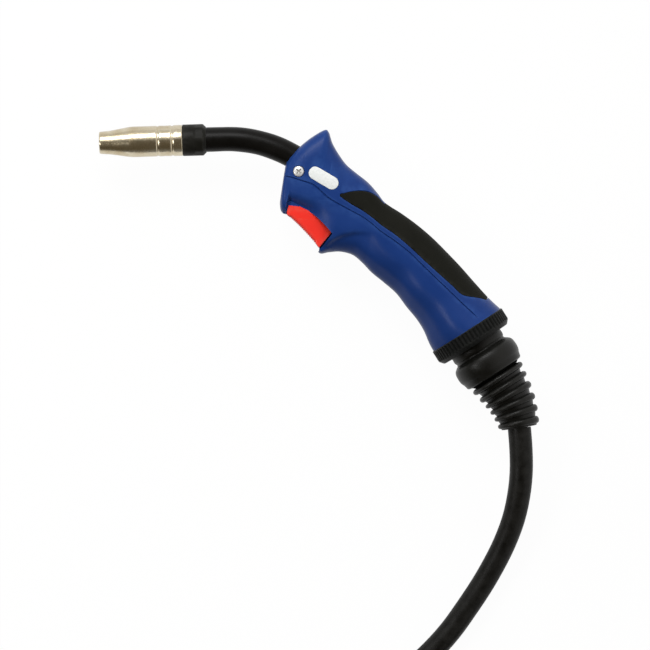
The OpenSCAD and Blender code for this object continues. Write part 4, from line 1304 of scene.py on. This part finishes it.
boot_line = [(RING_LENGTH - 3.6, 14.0), (RING_LENGTH - 3.6, 16.9)]
boot_line += [(COLLAR_FROM + s, r) for s, r in smooth(COLLAR_SHAPE, COLLAR_STEPS)]
for i in range(RIBS):
    root, crest = ROOT_R - ROOT_TAPER * i, CREST_R - CREST_TAPER * i
    for j in range(RIB_STEPS + 1):
        turn = math.pi * j / RIB_STEPS
        t = (1 - RIB_SHARE) / 2 + RIB_SHARE * (0.5 - 0.5 * math.cos(turn))
        boot_line.append((COLLAR_FROM + RIB_FROM + (i + t) * RIB_PITCH,
                          root + (crest - root) * math.sin(turn) ** CREST_FLATNESS))
boot_line += [(boot_end - 0.25, 10.7), (boot_end, 10.3), (boot_end, BORE_R + 0.3),
              (boot_end - 0.3, BORE_R)]
boot_line += [(boot_end - 2 * i, BORE_R) for i in range(1, BORE_RINGS + 1)]
boot_line.append(boot_line[0])
boot = lay_along(turned("boot", boot_line, sides=96), TAIL)
seat(boot, "torch", "cable_boot", "boot_black", angle=48)

# %% [markdown]
# ## Soft corners
#
# A strap that is pulled round a bundle of cable lies flat above and below it and turns the
# corners softly. Its outline is a rectangle with a quarter of a circle at each corner.

# %% Soft corners
def rounded(x0, x1, y0, y1, r, steps=8):
    """A rectangle's outline with round corners."""
    made = []
    for cx, cy, turn in ((x1 - r, y0 + r, -90), (x1 - r, y1 - r, 0),
                         (x0 + r, y1 - r, 90), (x0 + r, y0 + r, 180)):
        for i in range(steps + 1):
            a = math.radians(turn + 90 * i / steps)
            made.append((cx + r * math.cos(a), cy + r * math.sin(a)))
    return made


print(len(rounded(0, 2, 0, 2, 1)), "points round a rectangle")

# %% [markdown]
# ## Ties
#
# Two hook-and-loop straps hold the stored cable. Each is a flat band that runs round the
# coil's layers, so it is laid out as rows of points and joined up. Bending a straight band
# would stretch it at the corners.

# %% Ties
STRAP_T, STRAP_W = 1.3, 14.0
STRAP_TOP = LAYER_STEP + 2 * CABLE_R + 2.6
STRAP_SLACK, STRAP_CORNER, STRAP_EDGE = 1.4, 6.5, 0.35
STRAP_BASE_T = STRAP_T * 0.85


def strap(name, turn, r_in, r_out):
    """One strap round the coil, standing square to it at an angle."""
    low, high = r_in - STRAP_SLACK, r_out + STRAP_SLACK
    outer = rounded(low, high, 0.0, STRAP_TOP, STRAP_CORNER)
    inner = rounded(low + STRAP_T, high - STRAP_T, STRAP_BASE_T, STRAP_TOP - STRAP_T,
                    STRAP_CORNER - STRAP_T)
    half = STRAP_W / 2
    loops = [(half, outer, STRAP_EDGE), (half - STRAP_EDGE, outer, 0.0),
             (STRAP_EDGE - half, outer, 0.0), (-half, outer, STRAP_EDGE),
             (-half, inner, 0.0), (half, inner, 0.0)]
    middle = ((r_in + r_out) / 2, STRAP_TOP / 2)
    rows = []
    for z, shape, pull in loops:
        row = []
        for x, y in shape:
            towards = Vector((middle[0] - x, middle[1] - y)).normalized() * pull
            row.append((x + towards.x, y + towards.y, z))
        rows.append(row)
    piece = grid(name, [r + r[:1] for r in rows + rows[:1]])
    a = math.radians(turn)
    ahead, side = Vector((math.cos(a), math.sin(a), 0)), Vector((-math.sin(a), math.cos(a), 0))
    base = spot(COIL_XY[0], COIL_XY[1], -LIE)

    def place(p):
        x, y, z = (p - MOUTH) / MM
        return base + (ahead * x + UP * y + side * z) * MM

    placed(piece, place)
    edit()
    close_up()
    return piece


ties = join([strap("tie_a", 0, 48.2, 91.2), strap("tie_b", 180, 53.6, 98.8)], "ties")
seat(ties, "torch", "coil_ties", "tie_black", angle=40)

# %% [markdown]
# ## The plug's boot
#
# The plug for the welding machine starts with a small boot of its own: five stepped ribs on
# a cone. Each rib is the same few points, moved along and made a little larger by a loop.
# The plug's pins and its insulating face are exact enough in the construction and stay.

# %% Plug boot
PLUG_RIBS = 5
PLUG_BOOT = [(0.0, 8.6), (0.3, 9.3), (0.8, 9.6)]
for i in range(PLUG_RIBS):
    place, crest = 2 + 6 * i, 10.8 + 0.75 * i
    cone = 9.4 + 4 * (place + 1.5) / 34
    PLUG_BOOT += [(place - 0.4, cone), (place, cone + 0.4), (place + 0.35, crest - 0.35),
                  (place + 0.9, crest), (place + 2.1, crest), (place + 2.65, crest - 0.35),
                  (place + 3.0, cone + 0.5), (place + 3.4, cone + 0.2)]
PLUG_BOOT += [(31.6, 13.1), (32.6, 13.5), (33.0, 14.2), (33.5, 14.55), (44.6, 14.55),
              (45.0, 14.3), (45.0, 7.6), (44.6, 7.3), (0.4, 7.3), (0.0, 7.7), (0.0, 8.6)]
plug_boot = lay_along(turned("plug_boot", PLUG_BOOT, sides=72), PLUG)
seat(plug_boot, "torch", "connector_boot", "boot_black", angle=40)

# %% [markdown]
# ## The plug's housing
#
# The housing is a turned shell with twenty-four flutes to hold it by. The flutes are pressed
# in like the grooves of the locking ring, and two wells are cut for the screws.

# %% Plug housing
HOUSING = [(38.0, 14.7), (38.0, 15.4), (38.3, 16.2), (39.0, 17.1), (41, 18.0), (44, 18.9),
           (47, 19.55), (50, 20.05), (52.2, 20.35), (53.2, 20.5), (54, 20.5), (55, 20.5)]
HOUSING += [(s, 20.5) for s in (60, 66, 72, 78, 84, 86, 87)]
HOUSING += [(88.0, 20.5), (88.8, 20.4), (89.5, 20.0), (90.0, 19.4), (90.0, 15.2), (82.4, 15.15),
            (82.0, 14.3), (45.4, 14.3), (45.2, 14.7), (38.0, 14.7)]
HOUSING_FLUTES, HOUSING_FLUTE, FLUTED_R = 24, 0.9, 20.2
FLUTES_FRONT, FLUTES_REAR = (53, 55.5), (86, 88)
SCREW_S = 76
WELL = [(18.4, AXIS), (18.4, 2.9), (24, 2.9), (24, AXIS)]


def housing_depth(s, r, turn):
    """How deep the flutes of the housing are at a point."""
    if r <= FLUTED_R:
        return 0.0
    wave = max(0.0, math.cos(turn * HOUSING_FLUTES))
    return HOUSING_FLUTE * math.sqrt(wave) * stretch(s, FLUTES_FRONT, FLUTES_REAR)


def sideways(piece, side):
    """Lays a piece that was modelled along X on the plug's axis, pointing to one side."""
    base = PLUG(SCREW_S)[0]
    return placed(piece, lambda p: base + Vector((side * p.x, side * p.y, p.z)))


housing = press_in(turned("plug_housing", HOUSING, sides=HOUSING_FLUTES * 12), housing_depth)
lay_along(housing, PLUG)
for side in (1, -1):
    cut_with(housing, sideways(turned("screw_well", WELL, sides=40), side))
seat(housing, "torch", "connector_housing", "plug_black", angle=30)

# %% [markdown]
# ## The housing's screws
#
# Two slotted screws hold the housing on. Each head is turned, laid sideways into its well and
# slotted with a thin block, and the two are joined, as they are alike and never move.

# %% Housing screws
SCREW_HEAD = [
    (13.2, AXIS), (13.2, 1.45), (18.45, 1.5), (18.45, 2.55), (18.6, 2.68), (19.5, 2.68),
    (19.85, 2.45), (19.98, 2.0), (20.0, AXIS),
]
SLOT_MIDDLE, SLOT_SIZE = 20.2, Vector((1.6, 8, 0.7))

heads = []
for side in (1, -1):
    head = sideways(turned("head", SCREW_HEAD, sides=40), side)
    middle = PLUG(SCREW_S)[0] + Vector((side * SLOT_MIDDLE * MM, 0, 0))
    bpy.ops.mesh.primitive_cube_add(size=1, location=(0, 0, 0))
    blade = placed(start("blade"), lambda p: middle + p * SLOT_SIZE * MM)
    cut_with(head, blade)
    heads.append(head)
plug_screws = join(heads, "plug_screws")
seat(plug_screws, "torch", "housing_screws", "steel", angle=30)

# %% [markdown]
# ## The hand nut
#
# A large nut pulls the plug into the machine. Sixteen finger grooves are pressed in outside,
# and the coarse thread inside is pressed out along a rising line. A separate thread piece
# would have to be welded to the nut's bore without a gap.

# %% Hand nut
NUT_LOBES, NUT_R, NUT_DEPTH, LOBED_FROM_R = 16, 24.0, 1.7, 23.4
BORE, THREAD_PITCH, THREAD_DEPTH = 17.6, 3.0, 0.9
THREAD_RINGS, THREAD_RING = 85, 0.3
LOBES_FRONT, LOBES_REAR, LOBE_FLATNESS = (95.5, 98.5), (122, 125), 0.8
THREAD_START, THREAD_TO, THREAD_FLANK = (98.7, 100), 124.7, (0.35, 0.65)
ON_BORE = 0.05
NUT = [(92.0, 15.4), (92.0, 19.6), (92.3, 20.2), (93.0, 21.3), (94.0, 22.9), (95.2, 23.5),
       (97.0, 23.9), (97.8, NUT_R), (99.0, NUT_R)]
NUT += [(s, NUT_R) for s in (103, 108, 113, 118, 121, 122.6)]
NUT += [(123.6, NUT_R), (124.4, 23.9), (125.2, 23.3), (125.8, 22.7), (126.0, 22.2),
        (126.0, 18.9), (125.4, 18.4), (124.8, BORE)]
NUT += [(124.6 - THREAD_RING * i, BORE) for i in range(THREAD_RINGS)]
NUT += [(98.6, BORE), (96.3, BORE), (96.2, 15.4), (92.0, 15.4)]


def nut_depth(s, r, turn):
    """How far the nut is pressed in at a point: finger grooves outside, the thread inside."""
    if r > LOBED_FROM_R:
        wave = max(0.0, math.cos(turn * NUT_LOBES)) ** LOBE_FLATNESS
        return NUT_DEPTH * wave * stretch(s, LOBES_FRONT, LOBES_REAR)
    if abs(r - BORE) < ON_BORE and s < THREAD_TO:
        tooth = abs(((s / THREAD_PITCH - turn / (2 * math.pi)) % 1) - 0.5) * 2
        height = soft(tooth, *THREAD_FLANK) - THREAD_FLANK[0]
        return -THREAD_DEPTH * height * soft(s, *THREAD_START)
    return 0.0


nut = press_in(turned("hand_nut", NUT, sides=NUT_LOBES * 12), nut_depth)
lay_along(nut, PLUG)
seat(nut, "nut", "union_nut", "plug_black", angle=30)

# %% [markdown]
# ## The cable's finish
#
# The cable's run joins the list of finished pieces, so that it takes the cable's finish.

# %% Cable finish
tuple(exit_point)
FINISHED.append((cable_run, "cable_black"))

# %% [markdown]
# ## Effects that the finishes share
#
# No real surface is even. Moulded plastic carries the fine grain of its mould, turned metal
# keeps a trace of the tool, and everything that is handled gets patches that are a little
# smoother or duller. Each of these effects is built once, as a node group with its sizes in
# millimetres, and each finish then sets its own values.

# %% Effect helpers
PER_METRE = 1000.0


def effect(name, inputs, outputs):
    """A new node group with its sockets, the outputs of its first node and its last node."""
    made = bpy.data.node_groups.new(name, "ShaderNodeTree")
    for label, value in inputs.items():
        kind = "NodeSocketVector" if isinstance(value, tuple) else "NodeSocketFloat"
        made.interface.new_socket(label, in_out="INPUT", socket_type=kind).default_value = value
    for label in outputs:
        made.interface.new_socket(label, in_out="OUTPUT", socket_type="NodeSocketFloat")
    return made, made.nodes.new("NodeGroupInput").outputs, made.nodes.new("NodeGroupOutput").inputs


def own_place(tree):
    """The piece's own coordinates, in metres."""
    return add(tree, "ShaderNodeTexCoord").outputs["Object"]


def noise(tree, size_mm, detail, roughness, vector=None):
    """Noise on the piece's own coordinates, with features of a size in millimetres."""
    return add(tree, "ShaderNodeTexNoise", Detail=detail, Roughness=roughness,
               Vector=vector or own_place(tree),
               Scale=maths(tree, "DIVIDE", PER_METRE, size_mm)).outputs[0]


print("effects are sized in millimetres")

# %% [markdown]
# ## Mould grain and handling
#
# Mould grain is fine noise with small pits in it, as a spark-eroded mould leaves them.
# Handling is a soft mask of patches, which each finish uses to mix two colours and two
# degrees of gloss.

# %% Mould grain
PIT_SPACING = 0.7
GRAIN, sizes, out = effect("mould_grain", {"Size": 0.5, "Pits": 0.3}, ["Height"])
cells = add(GRAIN, "ShaderNodeTexVoronoi", Vector=own_place(GRAIN),
            Scale=maths(GRAIN, "DIVIDE", PER_METRE * PIT_SPACING, sizes["Size"]))
pits = maths(GRAIN, "MULTIPLY", mapped(GRAIN, cells.outputs["Distance"], 0.0, 0.6),
             sizes["Pits"])
fine = noise(GRAIN, sizes["Size"], 2.0, 0.6)
feed(GRAIN, out["Height"], maths(GRAIN, "ADD", fine, pits))
print(GRAIN.name, len(GRAIN.nodes), "nodes")

# %% Handling
HANDLING, sizes, out = effect("handling", {"Size": 25.0, "Spread": 0.2}, ["Mask"])
low = maths(HANDLING, "SUBTRACT", 0.5, sizes["Spread"])
high = maths(HANDLING, "ADD", 0.5, sizes["Spread"])
patches = noise(HANDLING, sizes["Size"], 4.0, 0.6)
feed(HANDLING, out["Mask"], mapped(HANDLING, patches, low, high))
print(HANDLING.name, len(HANDLING.nodes), "nodes")

# %% [markdown]
# ## Turning marks
#
# A lathe leaves rings square to the axis of the part. Noise in one dimension, read along
# that axis, gives such rings, where a wave texture would repeat too evenly.

# %% Turning marks
MARKS, sizes, out = effect(
    "turning_marks", {"Pitch": 0.3, "Axis": (1.0, 0.0, 0.0)}, ["Height", "Mask"])
along = add(MARKS, "ShaderNodeVectorMath", operation="DOT_PRODUCT")
feed(MARKS, along.inputs[0], own_place(MARKS))
feed(MARKS, along.inputs[1], sizes["Axis"])
rings = maths(MARKS, "MULTIPLY", along.outputs["Value"],
              maths(MARKS, "DIVIDE", PER_METRE, sizes["Pitch"]))
lines = add(MARKS, "ShaderNodeTexNoise", noise_dimensions="1D", Detail=3.0, Roughness=0.7,
            W=rings).outputs[0]
feed(MARKS, out["Height"], lines)
feed(MARKS, out["Mask"], mapped(MARKS, lines, 0.35, 0.65))
print(MARKS.name, len(MARKS.nodes), "nodes")

# %% [markdown]
# ## Scuffs, and edge wear with a painted highlight
#
# Scuffs are noise stretched into short strokes, of which only the strongest are kept. The
# paler edges are partly wear and partly a painted highlight: they follow the sharpness of
# the surface, broken up by patches, so that edges aren't outlined evenly.

# %% Scuffs
STROKE_TURN, STROKE_SHAPE = (0.4, 0.3, 0.9), (1.0, 14.0, 14.0)
SCUFFS, sizes, out = effect("scuffs", {"Length": 9.0, "Share": 0.06}, ["Mask"])
turned_on = add(SCUFFS, "ShaderNodeMapping", Vector=own_place(SCUFFS), Rotation=STROKE_TURN,
                Scale=STROKE_SHAPE)
strokes = noise(SCUFFS, sizes["Length"], 2.0, 0.5, turned_on.outputs[0])
edge = maths(SCUFFS, "SUBTRACT", 0.78, sizes["Share"])
feed(SCUFFS, out["Mask"], mapped(SCUFFS, strokes, edge, 0.8))
print(SCUFFS.name, len(SCUFFS.nodes), "nodes")

# %% Edge wear and painted highlight
EDGE = 0.505
EDGE_WEAR_AND_HIGHLIGHT, sizes, out = effect("edge_wear_and_highlight", {"Sharpness": 0.03, "Patch": 4.0}, ["Mask"])
edges = mapped(EDGE_WEAR_AND_HIGHLIGHT, add(EDGE_WEAR_AND_HIGHLIGHT, "ShaderNodeNewGeometry").outputs["Pointiness"], EDGE,
               maths(EDGE_WEAR_AND_HIGHLIGHT, "ADD", EDGE, sizes["Sharpness"]))
rubbed = mapped(EDGE_WEAR_AND_HIGHLIGHT, noise(EDGE_WEAR_AND_HIGHLIGHT, sizes["Patch"], 4.0, 0.6), 0.35, 0.6)
feed(EDGE_WEAR_AND_HIGHLIGHT, out["Mask"], maths(EDGE_WEAR_AND_HIGHLIGHT, "MULTIPLY", edges, rubbed))
print(EDGE_WEAR_AND_HIGHLIGHT.name, len(EDGE_WEAR_AND_HIGHLIGHT.nodes), "nodes")

# %% [markdown]
# ## Strap weave
#
# Woven tape has threads that cross at right angles. Two sine waves, multiplied, give their
# heights on any side of the strap.

# %% Strap weave
WEAVE, sizes, out = effect("strap_weave", {"Thread": 0.8}, ["Height", "Mask"])
place = add(WEAVE, "ShaderNodeSeparateXYZ", Vector=own_place(WEAVE)).outputs
per_mm = maths(WEAVE, "DIVIDE", PER_METRE * math.pi, sizes["Thread"])
across = maths(WEAVE, "SINE", maths(WEAVE, "MULTIPLY", place["X"], per_mm))
up_down = maths(WEAVE, "ADD", place["Y"], place["Z"])
down = maths(WEAVE, "SINE", maths(WEAVE, "MULTIPLY", up_down, per_mm))
threads = maths(WEAVE, "MULTIPLY", across, down)
feed(WEAVE, out["Height"], threads)
feed(WEAVE, out["Mask"], mapped(WEAVE, threads, -1.0, 1.0))
print(len(bpy.data.node_groups), "shared effects")

# %% [markdown]
# ## Layers of a finish
#
# A finish is built up in layers, as wear does it: an effect gives a mask or a height, a mask
# lays a paler colour over the base, and a height goes into the relief. On sharp edges that
# paler colour is partly a painted highlight. Painted pictures could hold the same, but they
# would blur close up.

# %% Layers of a finish
def use(tree, effect_group, **values):
    """Adds one of the shared effects with its values; returns its outputs."""
    node = tree.nodes.new("ShaderNodeGroup")
    node.node_tree = effect_group
    for label, value in values.items():
        node.inputs[label].default_value = value
    return node.outputs


def paler(colour, times):
    return tuple(min(1.0, c * times + 0.012) for c in colour)


def relief_of(tree, shader, *layers):
    """Feeds heights into the shader's normal, one bump on the other: (height, depth) pairs."""
    before = None
    for height, depth_mm in layers:
        bump = add(tree, "ShaderNodeBump", Distance=depth_mm * MM, Height=height)
        if before:
            feed(tree, bump.inputs["Normal"], before)
        before = bump.outputs["Normal"]
    feed(tree, shader.inputs["Normal"], before)


def paint_over(tree, shader, mask, share, colour):
    """Lays a colour over the base where a mask says so."""
    base = shader.inputs["Base Color"]
    under = base.links[0].from_socket
    feed(tree, base, blend(tree, maths(tree, "MULTIPLY", mask, share), under, colour))


print("effects can be laid over a finish")

# %% [markdown]
# ## Finishes
#
# A finish is a Principled shader with two colours that the handling patches mix, a range of
# roughness and a fine relief. The numbers come from the real materials: nylon handles have a
# spark-eroded grain of about a third of a millimetre, rubber is duller and coarser, and
# nickel plate keeps faint rings from the lathe.

# %% Finishes
FINISHES = {}


def finish(name, colour, worn, rough, patch=25.0, spread=0.2, rubbed=None, **sockets):
    """A material whose colour and roughness vary over the surface; returns its parts."""
    FINISHES[name] = bpy.data.materials.new(name)
    tree = node_tree(FINISHES[name])
    shader = add(tree, "ShaderNodeBsdfPrincipled", **sockets)
    hands = use(tree, HANDLING, Size=patch, Spread=spread)["Mask"]
    feed(tree, shader.inputs["Base Color"], blend(tree, hands, colour, worn))
    feed(tree, shader.inputs["Roughness"], mapped(tree, hands, 0.0, 1.0, *rough))
    # paler colour on sharp edges: partly edge wear, partly a painted highlight
    wear_and_highlight = use(tree, EDGE_WEAR_AND_HIGHLIGHT, Sharpness=0.03, Patch=patch / 4)["Mask"]
    paint_over(tree, shader, wear_and_highlight, 0.6, rubbed or paler(worn, 1.6))
    add(tree, "ShaderNodeOutputMaterial", Surface=shader.outputs[0])
    return tree, shader


def moulded(name, colour, worn, rough, grain=0.35, depth=0.02, pits=0.3, scuffs=0.0,
            gloss=0.3, **more):
    """Moulded plastic or rubber: grain in relief, and a few scuffs that are paler."""
    tree, shader = finish(name, colour, worn, rough, Specular_IOR_Level=gloss, **more)
    relief_of(tree, shader, (use(tree, GRAIN, Size=grain, Pits=pits)["Height"], depth))
    if scuffs:
        strokes = use(tree, SCUFFS, Length=11.0, Share=scuffs)["Mask"]
        paint_over(tree, shader, strokes, 0.5, paler(worn, 1.5))


def turned_metal(name, colour, worn, rough, pitch=0.25, depth=0.006, axis=(1, 0, 0),
                 uneven=0.0, metallic=1.0, **more):
    """Metal off the lathe: fine rings square to its axis, in relief and in roughness."""
    tree, shader = finish(name, colour, worn, rough, Metallic=metallic, **more)
    rings = use(tree, MARKS, Pitch=pitch, Axis=tuple(float(c) for c in axis))
    dents = use(tree, GRAIN, Size=7.0, Pits=0.5)
    relief_of(tree, shader, (dents["Height"], uneven), (rings["Height"], depth))
    gloss = shader.inputs["Roughness"]
    even = gloss.links[0].from_socket
    feed(tree, gloss, maths(tree, "ADD", even, maths(tree, "MULTIPLY", rings["Mask"], 0.05)))


print("two kinds of finish: moulded and turned")

# %% [markdown]
# ## Metals
#
# The nozzle is nickel plated, with a warm tone from the heat, and a little uneven from
# spinning. The tip is copper, and the screws and the trigger's pin are plain steel. The
# rings are square to each part's own axis, so a finish names the axis that it is for.

# %% Metals
# the bright colour for the nozzle's sharp edges is partly wear and partly a painted highlight
turned_metal("nickel", (0.68, 0.615, 0.47), (0.50, 0.41, 0.26), (0.17, 0.28),
             patch=7.0, pitch=0.5, depth=0.01, uneven=0.14, rubbed=(0.85, 0.80, 0.68))
turned_metal("copper", (0.78, 0.42, 0.25), (0.55, 0.27, 0.15), (0.25, 0.4),
             patch=5.0, uneven=0.05)
turned_metal("brass", (0.75, 0.58, 0.29), (0.60, 0.44, 0.20), (0.22, 0.36),
             patch=7.0, axis=(0, 1, 0))
turned_metal("steel", (0.90, 0.90, 0.89), (0.74, 0.73, 0.70), (0.3, 0.42),
             patch=2.5, pitch=0.12, axis=(1, 1, 0), metallic=0.5)
turned_metal("spring_steel", (0.56, 0.56, 0.57), (0.42, 0.41, 0.40), (0.25, 0.38),
             patch=3.0, pitch=0.1)
turned_metal("contact_gold", (0.86, 0.64, 0.27), (0.70, 0.50, 0.20), (0.12, 0.22),
             patch=4.0, axis=(0, 1, 0))
print(len(FINISHES), "metals")

# %% [markdown]
# ## Plastics of the neck and the handle
#
# The handle is blue nylon, a little glossy, and its pads are dull and coarse. The blacks
# differ only slightly in tone, so it is their grain and gloss that tell them apart.

# %% Neck and handle
moulded("insulator_black", (0.0080, 0.0078, 0.0062), (0.0125, 0.0122, 0.0102), (0.36, 0.5),
        grain=0.25, depth=0.012, patch=8.0, scuffs=0.03, gloss=0.1)
moulded("neck_black", (0.0032, 0.0028, 0.0024), (0.0058, 0.0052, 0.0046), (0.30, 0.42),
        grain=0.5, depth=0.012, patch=18.0, scuffs=0.02, gloss=0.12)
moulded("liner_white", (0.80, 0.80, 0.78), (0.68, 0.67, 0.62), (0.35, 0.5),
        patch=6.0, depth=0.01)
# the pale blue for the handle's sharp edges is partly wear and partly a painted highlight
moulded("handle_blue", (0.0085, 0.036, 0.178), (0.0115, 0.044, 0.205), (0.30, 0.38),
        grain=0.32, depth=0.012, patch=30.0, scuffs=0.015, rubbed=(0.025, 0.075, 0.27),
        gloss=0.13)
moulded("pad_black", (0.0078, 0.0080, 0.0058), (0.0115, 0.0115, 0.0088), (0.62, 0.76),
        grain=0.45, depth=0.05, pits=0.6, patch=14.0, scuffs=0.02, gloss=0.07)
moulded("label_white", (0.82, 0.85, 0.83), (0.74, 0.79, 0.80), (0.22, 0.38),
        grain=0.6, depth=0.003, patch=5.0)
# the pale red for the trigger's sharp edges is partly wear and partly a painted highlight
moulded("trigger_red", (0.97, 0.040, 0.026), (0.90, 0.032, 0.021), (0.28, 0.38),
        grain=0.3, depth=0.008, patch=10.0, rubbed=(0.88, 0.10, 0.07), gloss=0.25)
moulded("switch_grey", (0.11, 0.11, 0.12), (0.15, 0.15, 0.155), (0.5, 0.6),
        grain=0.2, patch=5.0)
moulded("wire_yellow", (0.75, 0.55, 0.08), (0.62, 0.43, 0.06), (0.4, 0.5),
        grain=0.3, patch=4.0)
print(len(FINISHES), "finishes so far")

# %% [markdown]
# ## Rubber and the plug
#
# Rubber is duller and coarser than nylon, and a cable that is dragged about has more scuffs
# than anything else. The ties alone are cloth, so they get the weave and a soft sheen.

# %% Rubber and plug
moulded("ring_black", (0.0030, 0.0035, 0.0034), (0.0060, 0.0066, 0.0062), (0.38, 0.54),
        grain=0.3, depth=0.02, patch=10.0, scuffs=0.04, gloss=0.1)
moulded("boot_black", (0.0034, 0.0034, 0.0028), (0.0075, 0.0075, 0.0064), (0.32, 0.46),
        grain=0.6, depth=0.04, pits=0.5, patch=14.0, scuffs=0.04, gloss=0.22)
moulded("cable_black", (0.0030, 0.0028, 0.0021), (0.0055, 0.0052, 0.0042), (0.38, 0.52),
        grain=0.9, depth=0.03, pits=0.4, patch=22.0, scuffs=0.05, gloss=0.14)
moulded("plug_black", (0.0090, 0.0090, 0.0095), (0.0135, 0.0135, 0.0140), (0.40, 0.55),
        grain=0.35, depth=0.02, patch=12.0, scuffs=0.04, gloss=0.15)
moulded("face_grey", (0.15, 0.15, 0.16), (0.20, 0.20, 0.20), (0.5, 0.62),
        grain=0.3, patch=6.0)
moulded("seal_black", (0.010, 0.010, 0.010), (0.018, 0.018, 0.018), (0.3, 0.45),
        grain=0.3, patch=3.0, gloss=0.2)
tree, shader = finish("tie_black", (0.012, 0.012, 0.012), (0.024, 0.023, 0.022), (0.78, 0.92),
                      patch=9.0, Sheen_Weight=0.3)
threads = use(tree, WEAVE, Thread=0.8)
relief_of(tree, shader, (threads["Height"], 0.08))
paint_over(tree, shader, threads["Mask"], 0.6, (0.04, 0.04, 0.038))
print(len(FINISHES), "finishes")

# %% [markdown]
# ## Putting the finishes on
#
# Each new piece takes the finish of its slot. The plain nodes that stay, such as the pins,
# the springs and the brass inside, get the finish that the record names for them.

# %% Finishes on pieces
for piece, slot in FINISHED:
    piece.data.materials.clear()
    piece.data.materials.append(FINISHES[slot])
for part in frame["record"]["subparts"]:
    node_object = frame["nodes"][part["node"]]
    for material_slot in node_object.material_slots:
        material_slot.material = FINISHES[part["material_slot"]]
print(len(FINISHED), "pieces finished")
